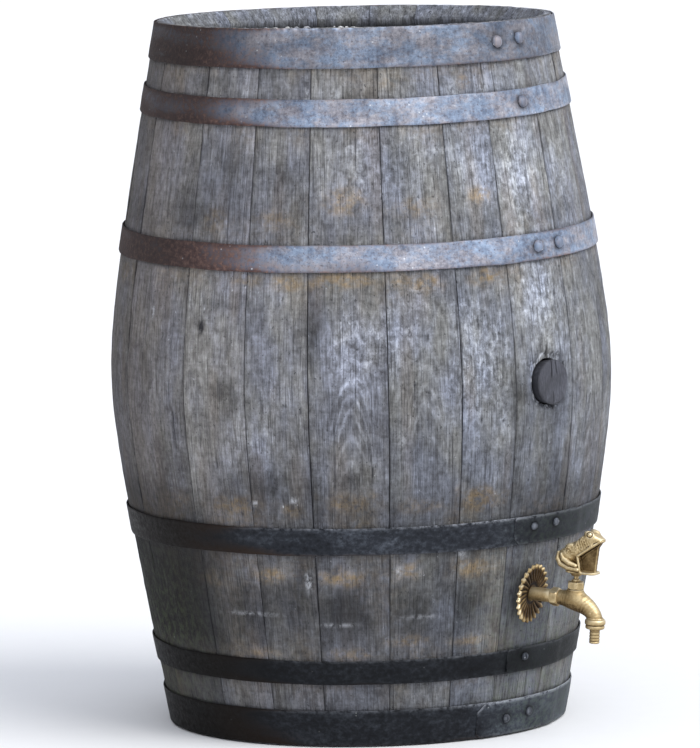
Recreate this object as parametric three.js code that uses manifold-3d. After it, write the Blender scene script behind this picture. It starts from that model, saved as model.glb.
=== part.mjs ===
// Oak wine barrel of the 225 litre pattern, standing on end as a water butt: open at the top, with a
// bung in the bilge and a brass garden tap near the bottom. Millimetres, +Z up. The origin is the
// centre of the base. Azimuths are degrees round the barrel: 0 faces -Y and 90 faces +X.

import * as THREE from 'three'
import { mergeVertices } from 'three/addons/utils/BufferGeometryUtils.js'
import Module from 'manifold-3d'

const wasm = await Module()
wasm.setup()

// ---------------------------------------------------------------- driving dimensions

const BARREL_HEIGHT = 950
const BILGE_RADIUS = 338 // outer radius at mid height
const FLARE_SLOPE = 0.19 // how fast the radius falls well away from the bilge
const BILGE_ROUNDING = 20 // softens the fall around the bilge
const STAVE_THICKNESS = 26
const JOINT_GAP = 0.05 // degrees between neighbouring staves
const FIRST_JOINT = -67 // azimuth of the first stave joint
const STAVE_WIDTHS = [23, 17, 15, 18, 17, 14, 19, 17, 19, 14, 18, 16, 20, 15, 17, 18, 14, 19, 16, 17, 17]
const BUNG_STAVE = 6 // index of the wide stave that takes the bung and the tap

const CHIME_FLAT = 9 // width of the flat stave end
const CHIME_BEVEL = 18 // height of the bevel inside each stave end
const CROZE_HEIGHT = 44 // from the stave end to the near side of the head groove
const CROZE_WIDTH = 7
const CROZE_DEPTH = 5

const HEAD_THICKNESS = 22
const HEAD_BOARDS = 5
const TOUCH_GAP = 0.3 // between pieces that touch

const HOOP_THICKNESS = 2
const HOOP_STEP = 7.5 // degrees between the corners of a hoop
const HOOP_CLEARANCE = 0.95 // keeps the flats between those corners clear of the wood

const BUNG = { azimuth: 47.4, height: 476, radius: 30.5, proud: 7, depth: 21, taper: 3 }

// low and high are the edges where the hoop crosses the sides of the barrel. Each hoop was driven a
// little unevenly, so its edges sit lower at the front by lowDrop and highDrop. clip is the size of the
// cut on the lower and the upper corner of its outer end.
const HOOPS = [
  { name: 'hoop_1_top', low: 901.5, high: 949.3, lowDrop: 4, highDrop: 0,
    innerEnd: 28.5, outerEnd: 61, clip: [5, 3], rivets: [[42.7, 923], [51.8, 925.5]], head: 8 },
  { name: 'hoop_2_upper_quarter', low: 831, high: 866.5, lowDrop: 9, highDrop: 9,
    innerEnd: 36, outerEnd: 59, clip: [6, 4], rivets: [[49, 843]], head: 8 },
  { name: 'hoop_3_upper_bilge', low: 642.5, high: 677.5, lowDrop: 8, highDrop: 8,
    innerEnd: 38, outerEnd: 59.5, clip: [3, 3], rivets: [[46.8, 654], [54.6, 656]], head: 8 },
  { name: 'hoop_4_lower_bilge', low: 262, high: 299, lowDrop: 0, highDrop: 0,
    innerEnd: 61, outerEnd: 38.2, clip: [9, 2], rivets: [[44.1, 286], [51.8, 287]], head: 5.5 },
  { name: 'hoop_5_lower_quarter', low: 88.5, high: 121, lowDrop: 2.5, highDrop: 2.5,
    innerEnd: 60, outerEnd: 39.9, clip: [3, 2], rivets: [[46, 108]], head: 5.5 },
  { name: 'hoop_6_bottom', low: 2.5, high: 50, lowDrop: 0, highDrop: 0,
    innerEnd: 63, outerEnd: 31.5, clip: [5, 12], rivets: [[41.5, 26], [50.6, 30]], head: 6 },
]
const RIVET_SHANK = 2.8

// The tap leaves the barrel a little off square. Its own frame has +X out along the pipe, +Z up the
// spindle and its origin where the pipe's axis meets the middle of the rosette.
const TAP = { azimuth: 45, height: 194, stand: 9, facing: 60, fall: 4 }
const ROSETTE_FALL = 10 // degrees: lies against the slope of the staves
const ROSETTE = { petals: 24, tip: 40, valley: 36.5, thickness: 2.2, hub: 12.5, hubHeight: 3, bore: 10 }
const PIPE = { inner: -57, outer: 36.7, radius: 9, bore: 6.5 }
const COUPLING = { start: 31, end: 42.5, flats: 22 }
const BACKNUT = { flats: 30, thickness: 10, face: -44 }
const SPINDLE_X = 65.7
const SPOUT_X = 96.8
const SEAT_HEIGHT = 2
const WASHER = { radius: 6, thickness: 3 }
const BONNET = { flats: 20.5, low: 14, high: 24, spigot: 8.2, spigotLow: 5.5, cavity: 6.5 }
const SPINDLE = { low: 7.9, shoulder: 16.7, collar: 4.5, radius: 3.2, square: 5, squareLow: 30.9, high: 39 }
const HANDLE = { bossRadius: 9.5, bossLow: 31.3, base: 36.5, plate: 3, screwReach: 7.8 }
const SPOUT_END = -29.5
const UNION = { radius: 13.4, high: -22.8, lip: -33.3, low: -35.6, bore: 10.1 }
const HOSE_TAIL = { low: -54.9, radius: 7, bore: 4.7, flange: 9.3, flangeLow: -33, flangeHigh: -31.6 }

// ---------------------------------------------------------------- materials

const metal = (color, roughness) => new THREE.MeshStandardMaterial({ color, roughness, metalness: 1 })
const matt = (color, roughness) => new THREE.MeshStandardMaterial({ color, roughness, metalness: 0 })
const MATERIALS = {
  staveOak: matt(0x6d6a66, 0.85),
  headOak: matt(0x5b4a38, 0.9),
  bungWood: matt(0x3f3d3b, 0.85),
  galvanised: metal(0x6f7078, 0.55),
  blackSteel: metal(0x2c2d2f, 0.6),
  brass: metal(0xb08d4a, 0.35),
  rubber: matt(0x1c1b1a, 0.9),
}

// ---------------------------------------------------------------- solids

// One closed solid from any closed geometry: only positions matter, and slivers are dropped.
function toSolid(geometry) {
  const bare = geometry.index ? geometry.toNonIndexed() : geometry.clone()
  bare.deleteAttribute('normal')
  bare.deleteAttribute('uv')
  const merged = mergeVertices(bare, 1e-3)
  const corners = merged.index.array
  const kept = []
  for (let i = 0; i < corners.length; i += 3) {
    const [a, b, c] = corners.slice(i, i + 3)
    if (a !== b && b !== c && c !== a) kept.push(a, b, c)
  }
  return new wasm.Manifold(new wasm.Mesh({
    numProp: 3,
    vertProperties: new Float32Array(merged.attributes.position.array),
    triVerts: new Uint32Array(kept),
  }))
}

function toGeometry(solid) {
  const { vertProperties, triVerts, numProp } = solid.getMesh()
  const positions = new Float32Array((vertProperties.length / numProp) * 3)
  for (let i = 0; i < positions.length / 3; i++) {
    positions.set(vertProperties.subarray(i * numProp, i * numProp + 3), i * 3)
  }
  const geometry = new THREE.BufferGeometry()
  geometry.setAttribute('position', new THREE.BufferAttribute(positions, 3))
  geometry.setIndex(new THREE.BufferAttribute(new Uint32Array(triVerts), 1))
  geometry.computeVertexNormals()
  return geometry
}

const join = (...solids) => solids.reduce((a, b) => a.add(b))
const cut = (solid, ...tools) => tools.reduce((a, b) => a.subtract(b), solid)

// A solid of revolution about +Z. The profile is [radius, height] from the bottom to the top.
function turned(profile, segments = 18) {
  const points = profile.map(([radius, height]) => new THREE.Vector2(radius, height))
  return toSolid(new THREE.LatheGeometry(points, segments).rotateX(Math.PI / 2))
}

const rod = (radius, low, high, segments = 18) =>
  turned([[0, low], [radius, low], [radius, high], [0, high]], segments)

const ring = (bore, radius, low, high, segments = 18) =>
  cut(rod(radius, low, high, segments), rod(bore, low - 1, high + 1, segments))

// A hexagonal prism about +Z, with a flat facing +Y.
function hexagon(flats, low, high) {
  const corner = flats / 2 / Math.cos(Math.PI / 6)
  const shape = new THREE.Shape()
  for (let k = 0; k < 6; k++) {
    const turn = (k * Math.PI) / 3
    shape[k ? 'lineTo' : 'moveTo'](corner * Math.cos(turn), corner * Math.sin(turn))
  }
  const prism = new THREE.ExtrudeGeometry(shape, { depth: high - low, bevelEnabled: false })
  return toSolid(prism.translate(0, 0, low))
}

function block(width, depth, low, high, x = 0, y = 0) {
  return toSolid(new THREE.BoxGeometry(width, depth, high - low).translate(x, y, (low + high) / 2))
}

function ellipsoid([x, y, z], [rx, ry, rz], lean = 0) {
  const ball = new THREE.SphereGeometry(1, 10, 7).scale(rx, ry, rz)
  return toSolid(ball.rotateY(THREE.MathUtils.degToRad(-lean)).translate(x, y, z))
}

// A round bar that follows points in the X-Z plane, with a radius at each: [x, z, radius].
function roundBar(stations, segments = 14) {
  const positions = []
  const index = []
  stations.forEach(([x, z, radius], i) => {
    const [x0, z0] = stations[Math.max(i - 1, 0)]
    const [x1, z1] = stations[Math.min(i + 1, stations.length - 1)]
    const slope = Math.atan2(z1 - z0, x1 - x0)
    for (let k = 0; k < segments; k++) {
      const turn = (k / segments) * 2 * Math.PI
      const across = radius * Math.cos(turn)
      const up = radius * Math.sin(turn)
      positions.push(x - up * Math.sin(slope), across, z + up * Math.cos(slope))
    }
  })
  const corner = (i, k) => i * segments + (k % segments)
  for (let i = 0; i + 1 < stations.length; i++) {
    for (let k = 0; k < segments; k++) {
      index.push(corner(i, k), corner(i, k + 1), corner(i + 1, k))
      index.push(corner(i, k + 1), corner(i + 1, k + 1), corner(i + 1, k))
    }
  }
  const last = stations.length - 1
  for (let k = 1; k + 1 < segments; k++) {
    index.push(corner(0, 0), corner(0, k + 1), corner(0, k))
    index.push(corner(last, 0), corner(last, k), corner(last, k + 1))
  }
  const geometry = new THREE.BufferGeometry()
  geometry.setAttribute('position', new THREE.Float32BufferAttribute(positions, 3))
  geometry.setIndex(index)
  return toSolid(geometry)
}

// A solid swept round the barrel. sectionAt gives the same number of [radius, height] corners at
// each azimuth, anticlockwise with the radius to the right.
function sweptRound(azimuths, sectionAt) {
  const sections = azimuths.map(sectionAt)
  const count = sections[0].length
  const positions = []
  azimuths.forEach((azimuth, i) => {
    const turn = THREE.MathUtils.degToRad(azimuth)
    for (const [radius, height] of sections[i]) {
      positions.push(radius * Math.sin(turn), -radius * Math.cos(turn), height)
    }
  })
  const index = []
  const corner = (i, k) => i * count + (k % count)
  for (let i = 0; i + 1 < azimuths.length; i++) {
    for (let k = 0; k < count; k++) {
      index.push(corner(i, k), corner(i + 1, k), corner(i, k + 1))
      index.push(corner(i, k + 1), corner(i + 1, k), corner(i + 1, k + 1))
    }
  }
  const last = azimuths.length - 1
  const outline = (section) => section.map(([radius, height]) => new THREE.Vector2(radius, height))
  for (const [a, b, c] of THREE.ShapeUtils.triangulateShape(outline(sections[0]), [])) {
    index.push(corner(0, a), corner(0, b), corner(0, c))
  }
  for (const [a, b, c] of THREE.ShapeUtils.triangulateShape(outline(sections[last]), [])) {
    index.push(corner(last, a), corner(last, c), corner(last, b))
  }
  const geometry = new THREE.BufferGeometry()
  geometry.setAttribute('position', new THREE.Float32BufferAttribute(positions, 3))
  geometry.setIndex(index)
  return toSolid(geometry)
}

// ---------------------------------------------------------------- places on the barrel

function outerRadius(height) {
  const up = height - BARREL_HEIGHT / 2
  return BILGE_RADIUS - (Math.hypot(FLARE_SLOPE * up, BILGE_ROUNDING) - BILGE_ROUNDING)
}

// How far the surface leans out for each millimetre up.
function outerSlope(height) {
  const up = height - BARREL_HEIGHT / 2
  return (-(FLARE_SLOPE ** 2) * up) / Math.hypot(FLARE_SLOPE * up, BILGE_ROUNDING)
}

const outward = (azimuth) => new THREE.Vector3(
  Math.sin(THREE.MathUtils.degToRad(azimuth)), -Math.cos(THREE.MathUtils.degToRad(azimuth)), 0)

// The frame whose +Z is square to the outer surface, origin `offset` outside it.
function surfaceFrame(azimuth, height, offset = 0) {
  const out = outward(azimuth)
  const normal = out.clone().setZ(-outerSlope(height)).normalize()
  const along = new THREE.Vector3(0, 0, 1).cross(out)
  const up = new THREE.Vector3().crossVectors(normal, along)
  const origin = out.multiplyScalar(outerRadius(height)).setZ(height).addScaledVector(normal, offset)
  return new THREE.Matrix4().makeBasis(along, up, normal).setPosition(origin)
}

// The tap's frame: +X along the pipe, +Z up the spindle.
function tapFrame() {
  const fall = THREE.MathUtils.degToRad(TAP.fall)
  const level = outward(TAP.facing)
  const pipe = level.clone().multiplyScalar(Math.cos(fall)).setZ(-Math.sin(fall))
  const spindle = level.clone().multiplyScalar(Math.sin(fall)).setZ(Math.cos(fall))
  const across = new THREE.Vector3().crossVectors(spindle, pipe)
  const origin = outward(TAP.azimuth).multiplyScalar(outerRadius(TAP.height) + TAP.stand)
  return new THREE.Matrix4().makeBasis(pipe, across, spindle).setPosition(origin.setZ(TAP.height))
}

const barrel = new THREE.Group()
const tap = new THREE.Group()
tapFrame().decompose(tap.position, tap.quaternion, tap.scale)
barrel.add(tap)
tap.updateMatrix()

function addMesh(parent, name, solid, material, frame) {
  const mesh = new THREE.Mesh(toGeometry(solid), material)
  mesh.name = name
  if (frame) frame.decompose(mesh.position, mesh.quaternion, mesh.scale)
  parent.add(mesh)
}

// A solid built about +Z, turned so that its +Z runs along +X.
const lying = (solid) => solid.rotate([0, 90, 0])
const moved = (solid, frame) => solid.transform(frame.elements.slice())

// ---------------------------------------------------------------- staves

// Heights along a stave: close together at the bilge, where it curves most.
function staveHeights(steps, top, bottom = BARREL_HEIGHT - top) {
  const middle = BARREL_HEIGHT / 2
  const half = (k) => Math.sign(k) * Math.abs(k / steps) ** 1.35
  const heights = []
  for (let k = -steps; k <= steps; k++) {
    heights.push(middle + half(k) * (k > 0 ? top - middle : middle - bottom))
  }
  return heights
}

// The outline of a stave end, as [distance in from the outer surface, distance from the end].
const STAVE_END = [
  [CHIME_FLAT, 0],
  [STAVE_THICKNESS, CHIME_BEVEL],
  [STAVE_THICKNESS, CROZE_HEIGHT],
  [STAVE_THICKNESS - CROZE_DEPTH, CROZE_HEIGHT + 1],
  [STAVE_THICKNESS - CROZE_DEPTH, CROZE_HEIGHT + CROZE_WIDTH - 1],
  [STAVE_THICKNESS, CROZE_HEIGHT + CROZE_WIDTH],
]

function staveSection(grow = 0) {
  const outside = staveHeights(6, BARREL_HEIGHT).map((z) => [outerRadius(z) + grow, z])
  const innerTop = BARREL_HEIGHT - 2 * CROZE_HEIGHT
  const inside = staveHeights(4, innerTop).reverse().map((z) => [outerRadius(z) - STAVE_THICKNESS - grow, z])
  const topEnd = STAVE_END.map(([depth, drop]) => {
    const z = BARREL_HEIGHT - drop
    return [outerRadius(z) - depth - grow, z]
  })
  const bottomEnd = STAVE_END.map(([depth, rise]) => [outerRadius(rise) - depth - grow, rise]).reverse()
  return [...outside, ...topEnd, ...inside, ...bottomEnd]
}

function staveAzimuths(start, width) {
  const steps = Math.ceil(width / 6.5)
  const first = start + JOINT_GAP / 2
  return Array.from({ length: steps + 1 }, (_, k) => first + (k / steps) * (width - JOINT_GAP))
}

// The tapered bung: [radius, height] about an axis square to the staves, height 0 at their surface.
function bungProfile() {
  const { radius, proud, depth, taper } = BUNG
  const small = radius - taper
  const chamfer = 1.5
  return [
    [0, -depth], [small - chamfer, -depth], [small, chamfer - depth],
    [radius, proud - chamfer], [radius - chamfer, proud], [0, proud],
  ]
}

const bungFrame = surfaceFrame(BUNG.azimuth, BUNG.height)

function bungHole() {
  const { radius, depth, taper, proud } = BUNG
  const rate = taper / (depth + proud)
  const inside = STAVE_THICKNESS + 6
  const at = (height) => radius + TOUCH_GAP - rate * (proud - height)
  const cone = turned([[0, -inside], [at(-inside), -inside], [at(proud), proud], [0, proud]], 24)
  return moved(cone, bungFrame)
}

const pipeHole = () => moved(lying(rod(PIPE.radius + 1, -75, 20)), tap.matrix)

let joint = FIRST_JOINT
STAVE_WIDTHS.forEach((width, k) => {
  const azimuths = staveAzimuths(joint, width)
  const whole = sweptRound(azimuths, () => staveSection())
  const solid = k === BUNG_STAVE ? cut(whole, bungHole(), pipeHole()) : whole
  addMesh(barrel, `stave_${String(k + 1).padStart(2, '0')}`, solid, MATERIALS.staveOak)
  joint += width
})

addMesh(barrel, 'bung', turned(bungProfile(), 24), MATERIALS.bungWood, bungFrame)

// ---------------------------------------------------------------- bottom head

// Five boards edge to edge, bevelled round the rim to enter the croze with a little play.
function bottomHead() {
  const rimMiddle = CROZE_HEIGHT + CROZE_WIDTH / 2
  const rimRadius = outerRadius(rimMiddle) - STAVE_THICKNESS + CROZE_DEPTH - 1
  const rimHalf = CROZE_WIDTH / 2 - 1.9
  const bevel = 30
  const low = rimMiddle - HEAD_THICKNESS / 2
  const high = rimMiddle + HEAD_THICKNESS / 2
  const disc = turned([
    [0, low], [rimRadius - bevel, low], [rimRadius, rimMiddle - rimHalf],
    [rimRadius, rimMiddle + rimHalf], [rimRadius - bevel, high], [0, high],
  ], 48)
  const board = (2 * rimRadius) / HEAD_BOARDS
  for (let k = 0; k < HEAD_BOARDS; k++) {
    const middle = (k - (HEAD_BOARDS - 1) / 2) * board
    const slice = block(2 * rimRadius + 2, board - TOUCH_GAP, low - 1, high + 1, 0, middle)
    addMesh(barrel, `head_board_${k + 1}`, disc.intersect(slice), MATERIALS.headOak)
  }
}
bottomHead()

// ---------------------------------------------------------------- hoops and rivets

// A hoop is one strip whose ends overlap. Where the outer end runs to a higher azimuth than the inner
// end, the strip passes over its own start after one full turn, otherwise before it.
function hoopSolid(hoop) {
  const { low, high, lowDrop, highDrop, innerEnd, outerEnd, clip } = hoop
  const forward = outerEnd > innerEnd
  const start = forward ? innerEnd : outerEnd
  const end = (forward ? outerEnd : innerEnd) + 360
  const clipAngles = clip.map((size) => THREE.MathUtils.radToDeg(size / outerRadius(low)))
  const clipStarts = clipAngles.map((angle) => (forward ? outerEnd - angle : outerEnd + angle))
  const jog = forward ? [innerEnd + 355, innerEnd + 359] : [innerEnd + 1, innerEnd + 5]
  const layer = HOOP_THICKNESS + TOUCH_GAP
  const lift = (azimuth) => {
    const t = THREE.MathUtils.clamp((azimuth - jog[0]) / (jog[1] - jog[0]), 0, 1)
    return layer * (forward ? t : 1 - t)
  }
  const trim = (azimuth, corner) => {
    const fromEnd = forward ? end - azimuth : azimuth - start
    return Math.max(0, clip[corner] * (1 - fromEnd / clipAngles[corner]))
  }
  const stops = [start, end, ...jog]
  for (const own of [innerEnd, outerEnd, ...clipStarts]) {
    stops.push(own, own + 360)
  }
  for (let azimuth = 0; azimuth < end; azimuth += HOOP_STEP) {
    stops.push(azimuth)
  }
  const azimuths = [...new Set(stops)].filter((a) => a >= start && a <= end).sort((a, b) => a - b)
  return sweptRound(azimuths, (azimuth) => {
    const facing = Math.cos(THREE.MathUtils.degToRad(azimuth))
    const bottom = low - lowDrop * facing + trim(azimuth, 0)
    const top = high - highDrop * facing - trim(azimuth, 1)
    const inner = HOOP_CLEARANCE + lift(azimuth)
    const outer = inner + HOOP_THICKNESS
    return [
      [outerRadius(bottom) + inner, bottom], [outerRadius(bottom) + outer, bottom],
      [outerRadius(top) + outer, top], [outerRadius(top) + inner, top],
    ]
  })
}

// Domed head outside, plain shank through both layers of the hoop.
function rivetSolid(head) {
  const underside = HOOP_CLEARANCE + 2 * HOOP_THICKNESS + 2 * TOUCH_GAP
  const profile = [[0, 0.4], [RIVET_SHANK, 0.4], [RIVET_SHANK, underside]]
  const height = head * 0.6
  for (let turn = 0; turn <= 90; turn += 22.5) {
    const t = THREE.MathUtils.degToRad(turn)
    profile.push([head * Math.cos(t), underside + height * Math.sin(t)])
  }
  return turned(profile, 12)
}

HOOPS.forEach((hoop, k) => {
  const material = k < 3 ? MATERIALS.galvanised : MATERIALS.blackSteel
  const holes = hoop.rivets.map(([azimuth, height]) =>
    moved(rod(RIVET_SHANK + TOUCH_GAP, -3, 12, 12), surfaceFrame(azimuth, height)))
  addMesh(barrel, hoop.name, cut(hoopSolid(hoop), ...holes), material)
  hoop.rivets.forEach(([azimuth, height], i) => {
    const name = `rivet_${k + 1}${'ab'[i]}`
    addMesh(barrel, name, rivetSolid(hoop.head), material, surfaceFrame(azimuth, height))
  })
})

// ---------------------------------------------------------------- tap: wall fitting

// A sunburst plate of pointed petals with a raised hub, lying on the staves round the pipe.
function rosetteSolid() {
  const { petals, tip, valley, thickness, hub, hubHeight, bore } = ROSETTE
  const shape = new THREE.Shape()
  for (let k = 0; k < 2 * petals; k++) {
    const turn = (k * Math.PI) / petals
    const reach = k % 2 ? valley : tip
    shape[k ? 'lineTo' : 'moveTo'](reach * Math.cos(turn), reach * Math.sin(turn))
  }
  const plate = toSolid(new THREE.ExtrudeGeometry(shape, { depth: thickness, bevelEnabled: false }))
  const boss = rod(hub, 0, thickness + hubHeight)
  return lying(cut(join(plate, boss), rod(bore, -1, thickness + hubHeight + 1)))
}

const rosetteTilt = new THREE.Matrix4()
  .makeRotationY(THREE.MathUtils.degToRad(ROSETTE_FALL - TAP.fall))
  .setPosition(-ROSETTE.thickness / 2, 0, 0)
addMesh(tap, 'tap_rosette', rosetteSolid(), MATERIALS.brass, rosetteTilt)

addMesh(tap, 'tap_pipe', lying(ring(PIPE.bore, PIPE.radius, PIPE.inner, PIPE.outer)), MATERIALS.brass)

const onPipe = PIPE.radius + TOUCH_GAP
const backnut = cut(
  hexagon(BACKNUT.flats, BACKNUT.face - BACKNUT.thickness, BACKNUT.face),
  rod(onPipe, BACKNUT.face - BACKNUT.thickness - 1, BACKNUT.face + 1))
addMesh(tap, 'tap_backnut', lying(backnut), MATERIALS.brass)

// The rubber seal fills the wedge between the nut and the inside of the stave.
function wallSeal() {
  const disc = lying(ring(onPipe, 16, BACKNUT.face + TOUCH_GAP, BACKNUT.face + 22))
  const wall = sweptRound([30, 36, 42, 48, 54, 60], () => staveSection(TOUCH_GAP))
  return disc.subtract(moved(wall, tap.matrix.clone().invert()))
}
addMesh(tap, 'tap_wall_seal', wallSeal(), MATERIALS.rubber)

const coupling = cut(
  hexagon(COUPLING.flats, COUPLING.start, COUPLING.end),
  rod(onPipe, COUPLING.start - 1, COUPLING.end + 1))
addMesh(tap, 'tap_coupling', lying(coupling), MATERIALS.brass)

// ---------------------------------------------------------------- tap: body

// The inlet runs under the valve seat, the seat opens up into the chamber, and the outlet leaves the
// chamber for the spout.
function bodySolid() {
  const inlet = PIPE.outer + 2 * TOUCH_GAP
  const casting = roundBar([
    [inlet, 0, PIPE.radius], [COUPLING.end + TOUCH_GAP, 0, PIPE.radius], [45, 0, 10.2], [53, -0.2, 11],
    [60, -0.7, 12.8], [68, -1.8, 13.6], [76, -4, 13.1], [84, -8, 11.8], [90, -12.2, 10.8],
    [94, -15.9, 10.2], [96.4, -19.8, 9.8], [SPOUT_X, -24, 9.7], [SPOUT_X, SPOUT_END, 9.7],
  ])
  const boss = rod(BONNET.spigot + 2.4, -2, BONNET.low - TOUCH_GAP).translate([SPINDLE_X, 0, 0])
  const chamber = rod(BONNET.spigot + TOUCH_GAP, SEAT_HEIGHT, BONNET.low + 1)
  const orifice = rod(4, -6, SEAT_HEIGHT + 1)
  return cut(
    join(casting, boss),
    lying(rod(5.5, inlet - 1, 55.5)),
    chamber.translate([SPINDLE_X, 0, 0]),
    orifice.translate([SPINDLE_X, 0, 0]),
    roundBar([[53, -1.5, 4], [68, -7.2, 4]]),
    roundBar([[69, 7.2, 4], [78, 0.5, 4.6], [86, -8, 5.2], [91.5, -14.5, 5.4], [SPOUT_X, -24, 5.6],
      [SPOUT_X, SPOUT_END - 1, 5.6]]),
  )
}
addMesh(tap, 'tap_body', bodySolid(), MATERIALS.brass)

// ---------------------------------------------------------------- tap: bonnet, spindle and valve

function bonnetSolid() {
  const { flats, low, high, spigot, spigotLow, cavity } = BONNET
  const head = hexagon(flats, low, high)
  const skirt = rod(spigot, spigotLow, low + 1)
  return cut(
    join(head, skirt),
    rod(cavity, spigotLow - 1, high - 3.9),
    rod(5, high - 4.5, high - 2),
    rod(SPINDLE.radius + 2 * TOUCH_GAP, low, high + 1),
  )
}

function spindleSolid() {
  const { low, shoulder, collar, radius, square, squareLow, high } = SPINDLE
  return cut(
    join(
      turned([[0, low], [collar, low], [collar, shoulder], [radius, shoulder], [radius, squareLow],
        [0, squareLow]]),
      block(square, square, squareLow - 1, high)),
    rod(2 + TOUCH_GAP, low - 1, shoulder, 16))
}

const washerLow = SEAT_HEIGHT + TOUCH_GAP
const jumperLow = washerLow + WASHER.thickness + TOUCH_GAP
const spindleParts = {
  tap_bonnet: [bonnetSolid(), MATERIALS.brass],
  tap_stem_seal: [ring(SPINDLE.radius + 0.25, 4.7, BONNET.high - 3.8, BONNET.high - 2.2), MATERIALS.rubber],
  tap_spindle: [spindleSolid(), MATERIALS.brass],
  tap_jumper: [turned([[0, jumperLow], [WASHER.radius, jumperLow], [WASHER.radius, jumperLow + 2],
    [2, jumperLow + 2], [2, SPINDLE.shoulder - 1], [0, SPINDLE.shoulder - 1]]), MATERIALS.brass],
  tap_washer: [ring(1.5, WASHER.radius, washerLow, washerLow + WASHER.thickness), MATERIALS.rubber],
}
const spindleFrame = new THREE.Matrix4().setPosition(SPINDLE_X, 0, 0)
for (const [name, [solid, material]] of Object.entries(spindleParts)) {
  addMesh(tap, name, solid, material, spindleFrame)
}

// ---------------------------------------------------------------- tap: frog handle

// A flat plate cut to an outline of [x, z] points, upright, between two places across the tap.
function uprightPlate(outline, fromY, toY) {
  const shape = new THREE.Shape(outline.map(([x, z]) => new THREE.Vector2(x, z)))
  const plate = new THREE.ExtrudeGeometry(shape, { depth: toY - fromY, bevelEnabled: false })
  return toSolid(plate.rotateX(Math.PI / 2).translate(0, toY, 0))
}

// A squatting frog that faces out along the pipe. Under its jaw the flanks are cut back to a narrow
// web, and it stands on a flat plate and a tapered boss with a square socket for the spindle. Its
// frame is the spindle's.
function frogSolid() {
  const { bossRadius, bossLow, base, plate } = HANDLE
  const deck = rod(1, base, base + plate, 28).scale([23, 14.5, 1]).translate([10, 0, 0])
  const sides = [-1, 1]
  const thighs = sides.map((side) => ellipsoid([-6, 11 * side, 54], [13, 5, 9], 35))
  const shins = sides.map((side) => ellipsoid([-5, 12.5 * side, 47], [13, 3.6, 3.6], -25))
  const feet = sides.map((side) => ellipsoid([-4, 13 * side, 42], [15, 3.4, 3.2], -8))
  const eyes = sides.map((side) => ellipsoid([24, 8.5 * side, 88.5], [6, 5, 5], 0))
  const body = ellipsoid([0, 0, 61], [25, 13.5, 15], 46)
  const head = ellipsoid([20, 0, 80], [20.5, 13.5, 9.5], -8)
  const underJaw = [[13, base + plate], [9, 56], [22, 66], [38, 74.5], [50, 74.5], [50, base + plate]]
  const flankCuts = sides.map((side) => uprightPlate(underJaw, side < 0 ? -20 : 6.5, side < 0 ? -6.5 : 20))
  const throat = uprightPlate([[30.5, base + plate], [34, 75], [50, 75], [50, base + plate]], -20, 20)
  const web = uprightPlate([[0, base + 1], [30.5, base + 1], [33, 72], [10, 72]], -6.5, 6.5)
  const boss = turned([[0, bossLow], [bossRadius - 4, bossLow], [bossRadius, base + 1], [0, base + 1]])
  const socket = block(SPINDLE.square + 2 * TOUCH_GAP, SPINDLE.square + 2 * TOUCH_GAP,
    bossLow - 1, SPINDLE.high + TOUCH_GAP)
  const screwHole = lying(rod(1.8, -bossRadius - 1, 0, 12)).translate([0, 0, HANDLE.bossLow + 2.8])
  const frog = cut(join(body, head, ...thighs, ...shins, ...feet), ...flankCuts, throat)
  return cut(join(frog, web, deck, boss, ...eyes), socket, screwHole)
}
addMesh(tap, 'frog_handle', frogSolid(), MATERIALS.brass, spindleFrame)

function gripScrew() {
  const { screwReach } = HANDLE
  const slot = block(0.8, 4, -screwReach - 1, 0.9 - screwReach)
  return cut(rod(1.5, -screwReach, -SPINDLE.square / 2 - TOUCH_GAP, 12), slot)
}
const screwFrame = spindleFrame.clone()
  .multiply(new THREE.Matrix4().makeTranslation(0, 0, HANDLE.bossLow + 2.8))
addMesh(tap, 'handle_screw', lying(gripScrew()), MATERIALS.brass, screwFrame)

// ---------------------------------------------------------------- tap: hose union

function unionNut() {
  const { radius, high, lip, low, bore } = UNION
  const outside = turned([
    [0, low], [radius - 1.6, low], [radius, low + 1.8], [radius, low + 4.6], [radius - 1.4, low + 5.6],
    [radius - 1.4, low + 6.8], [radius, low + 7.8], [radius, high - 1.6], [radius - 1.6, high], [0, high],
  ], 24)
  return cut(outside, rod(bore, lip, high + 1), rod(HOSE_TAIL.radius + 2 * TOUCH_GAP, low - 1, lip + 1))
}

// Three shallow barbs hold the hose.
function hoseTail() {
  const { low, radius, bore, flange, flangeLow, flangeHigh } = HOSE_TAIL
  const profile = [[0, low], [radius - 1, low], [radius, low + 1.5]]
  for (let z = low + 4; z < flangeLow - 8; z += 4) {
    profile.push([radius - 0.7, z], [radius, z + 1])
  }
  profile.push([radius, flangeLow], [flange, flangeLow], [flange, flangeHigh], [0, flangeHigh])
  return cut(turned(profile), rod(bore, low - 1, flangeHigh + 1))
}

const spoutFrame = new THREE.Matrix4().setPosition(SPOUT_X, 0, 0)
const washerHigh = SPOUT_END - TOUCH_GAP
const hoseWasher = ring(5, 9.3, HOSE_TAIL.flangeHigh + TOUCH_GAP, washerHigh)
addMesh(tap, 'hose_union_nut', unionNut(), MATERIALS.brass, spoutFrame)
addMesh(tap, 'hose_tail', hoseTail(), MATERIALS.brass, spoutFrame)
addMesh(tap, 'hose_washer', hoseWasher, MATERIALS.rubber, spoutFrame)

export default barrel
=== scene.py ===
"""The looks of an old oak wine barrel that stands on end as a water butt, built around its CAD frame.

Shapes are worked out in millimetres and set down in metres, in the frame of the CAD. The origin is
the middle of the base and +Z is up. Azimuths are degrees round the barrel: 0 faces -Y, 90 faces +X.
"""

import math

import bpy
import numpy as np
from mathutils import Matrix, Vector


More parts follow.
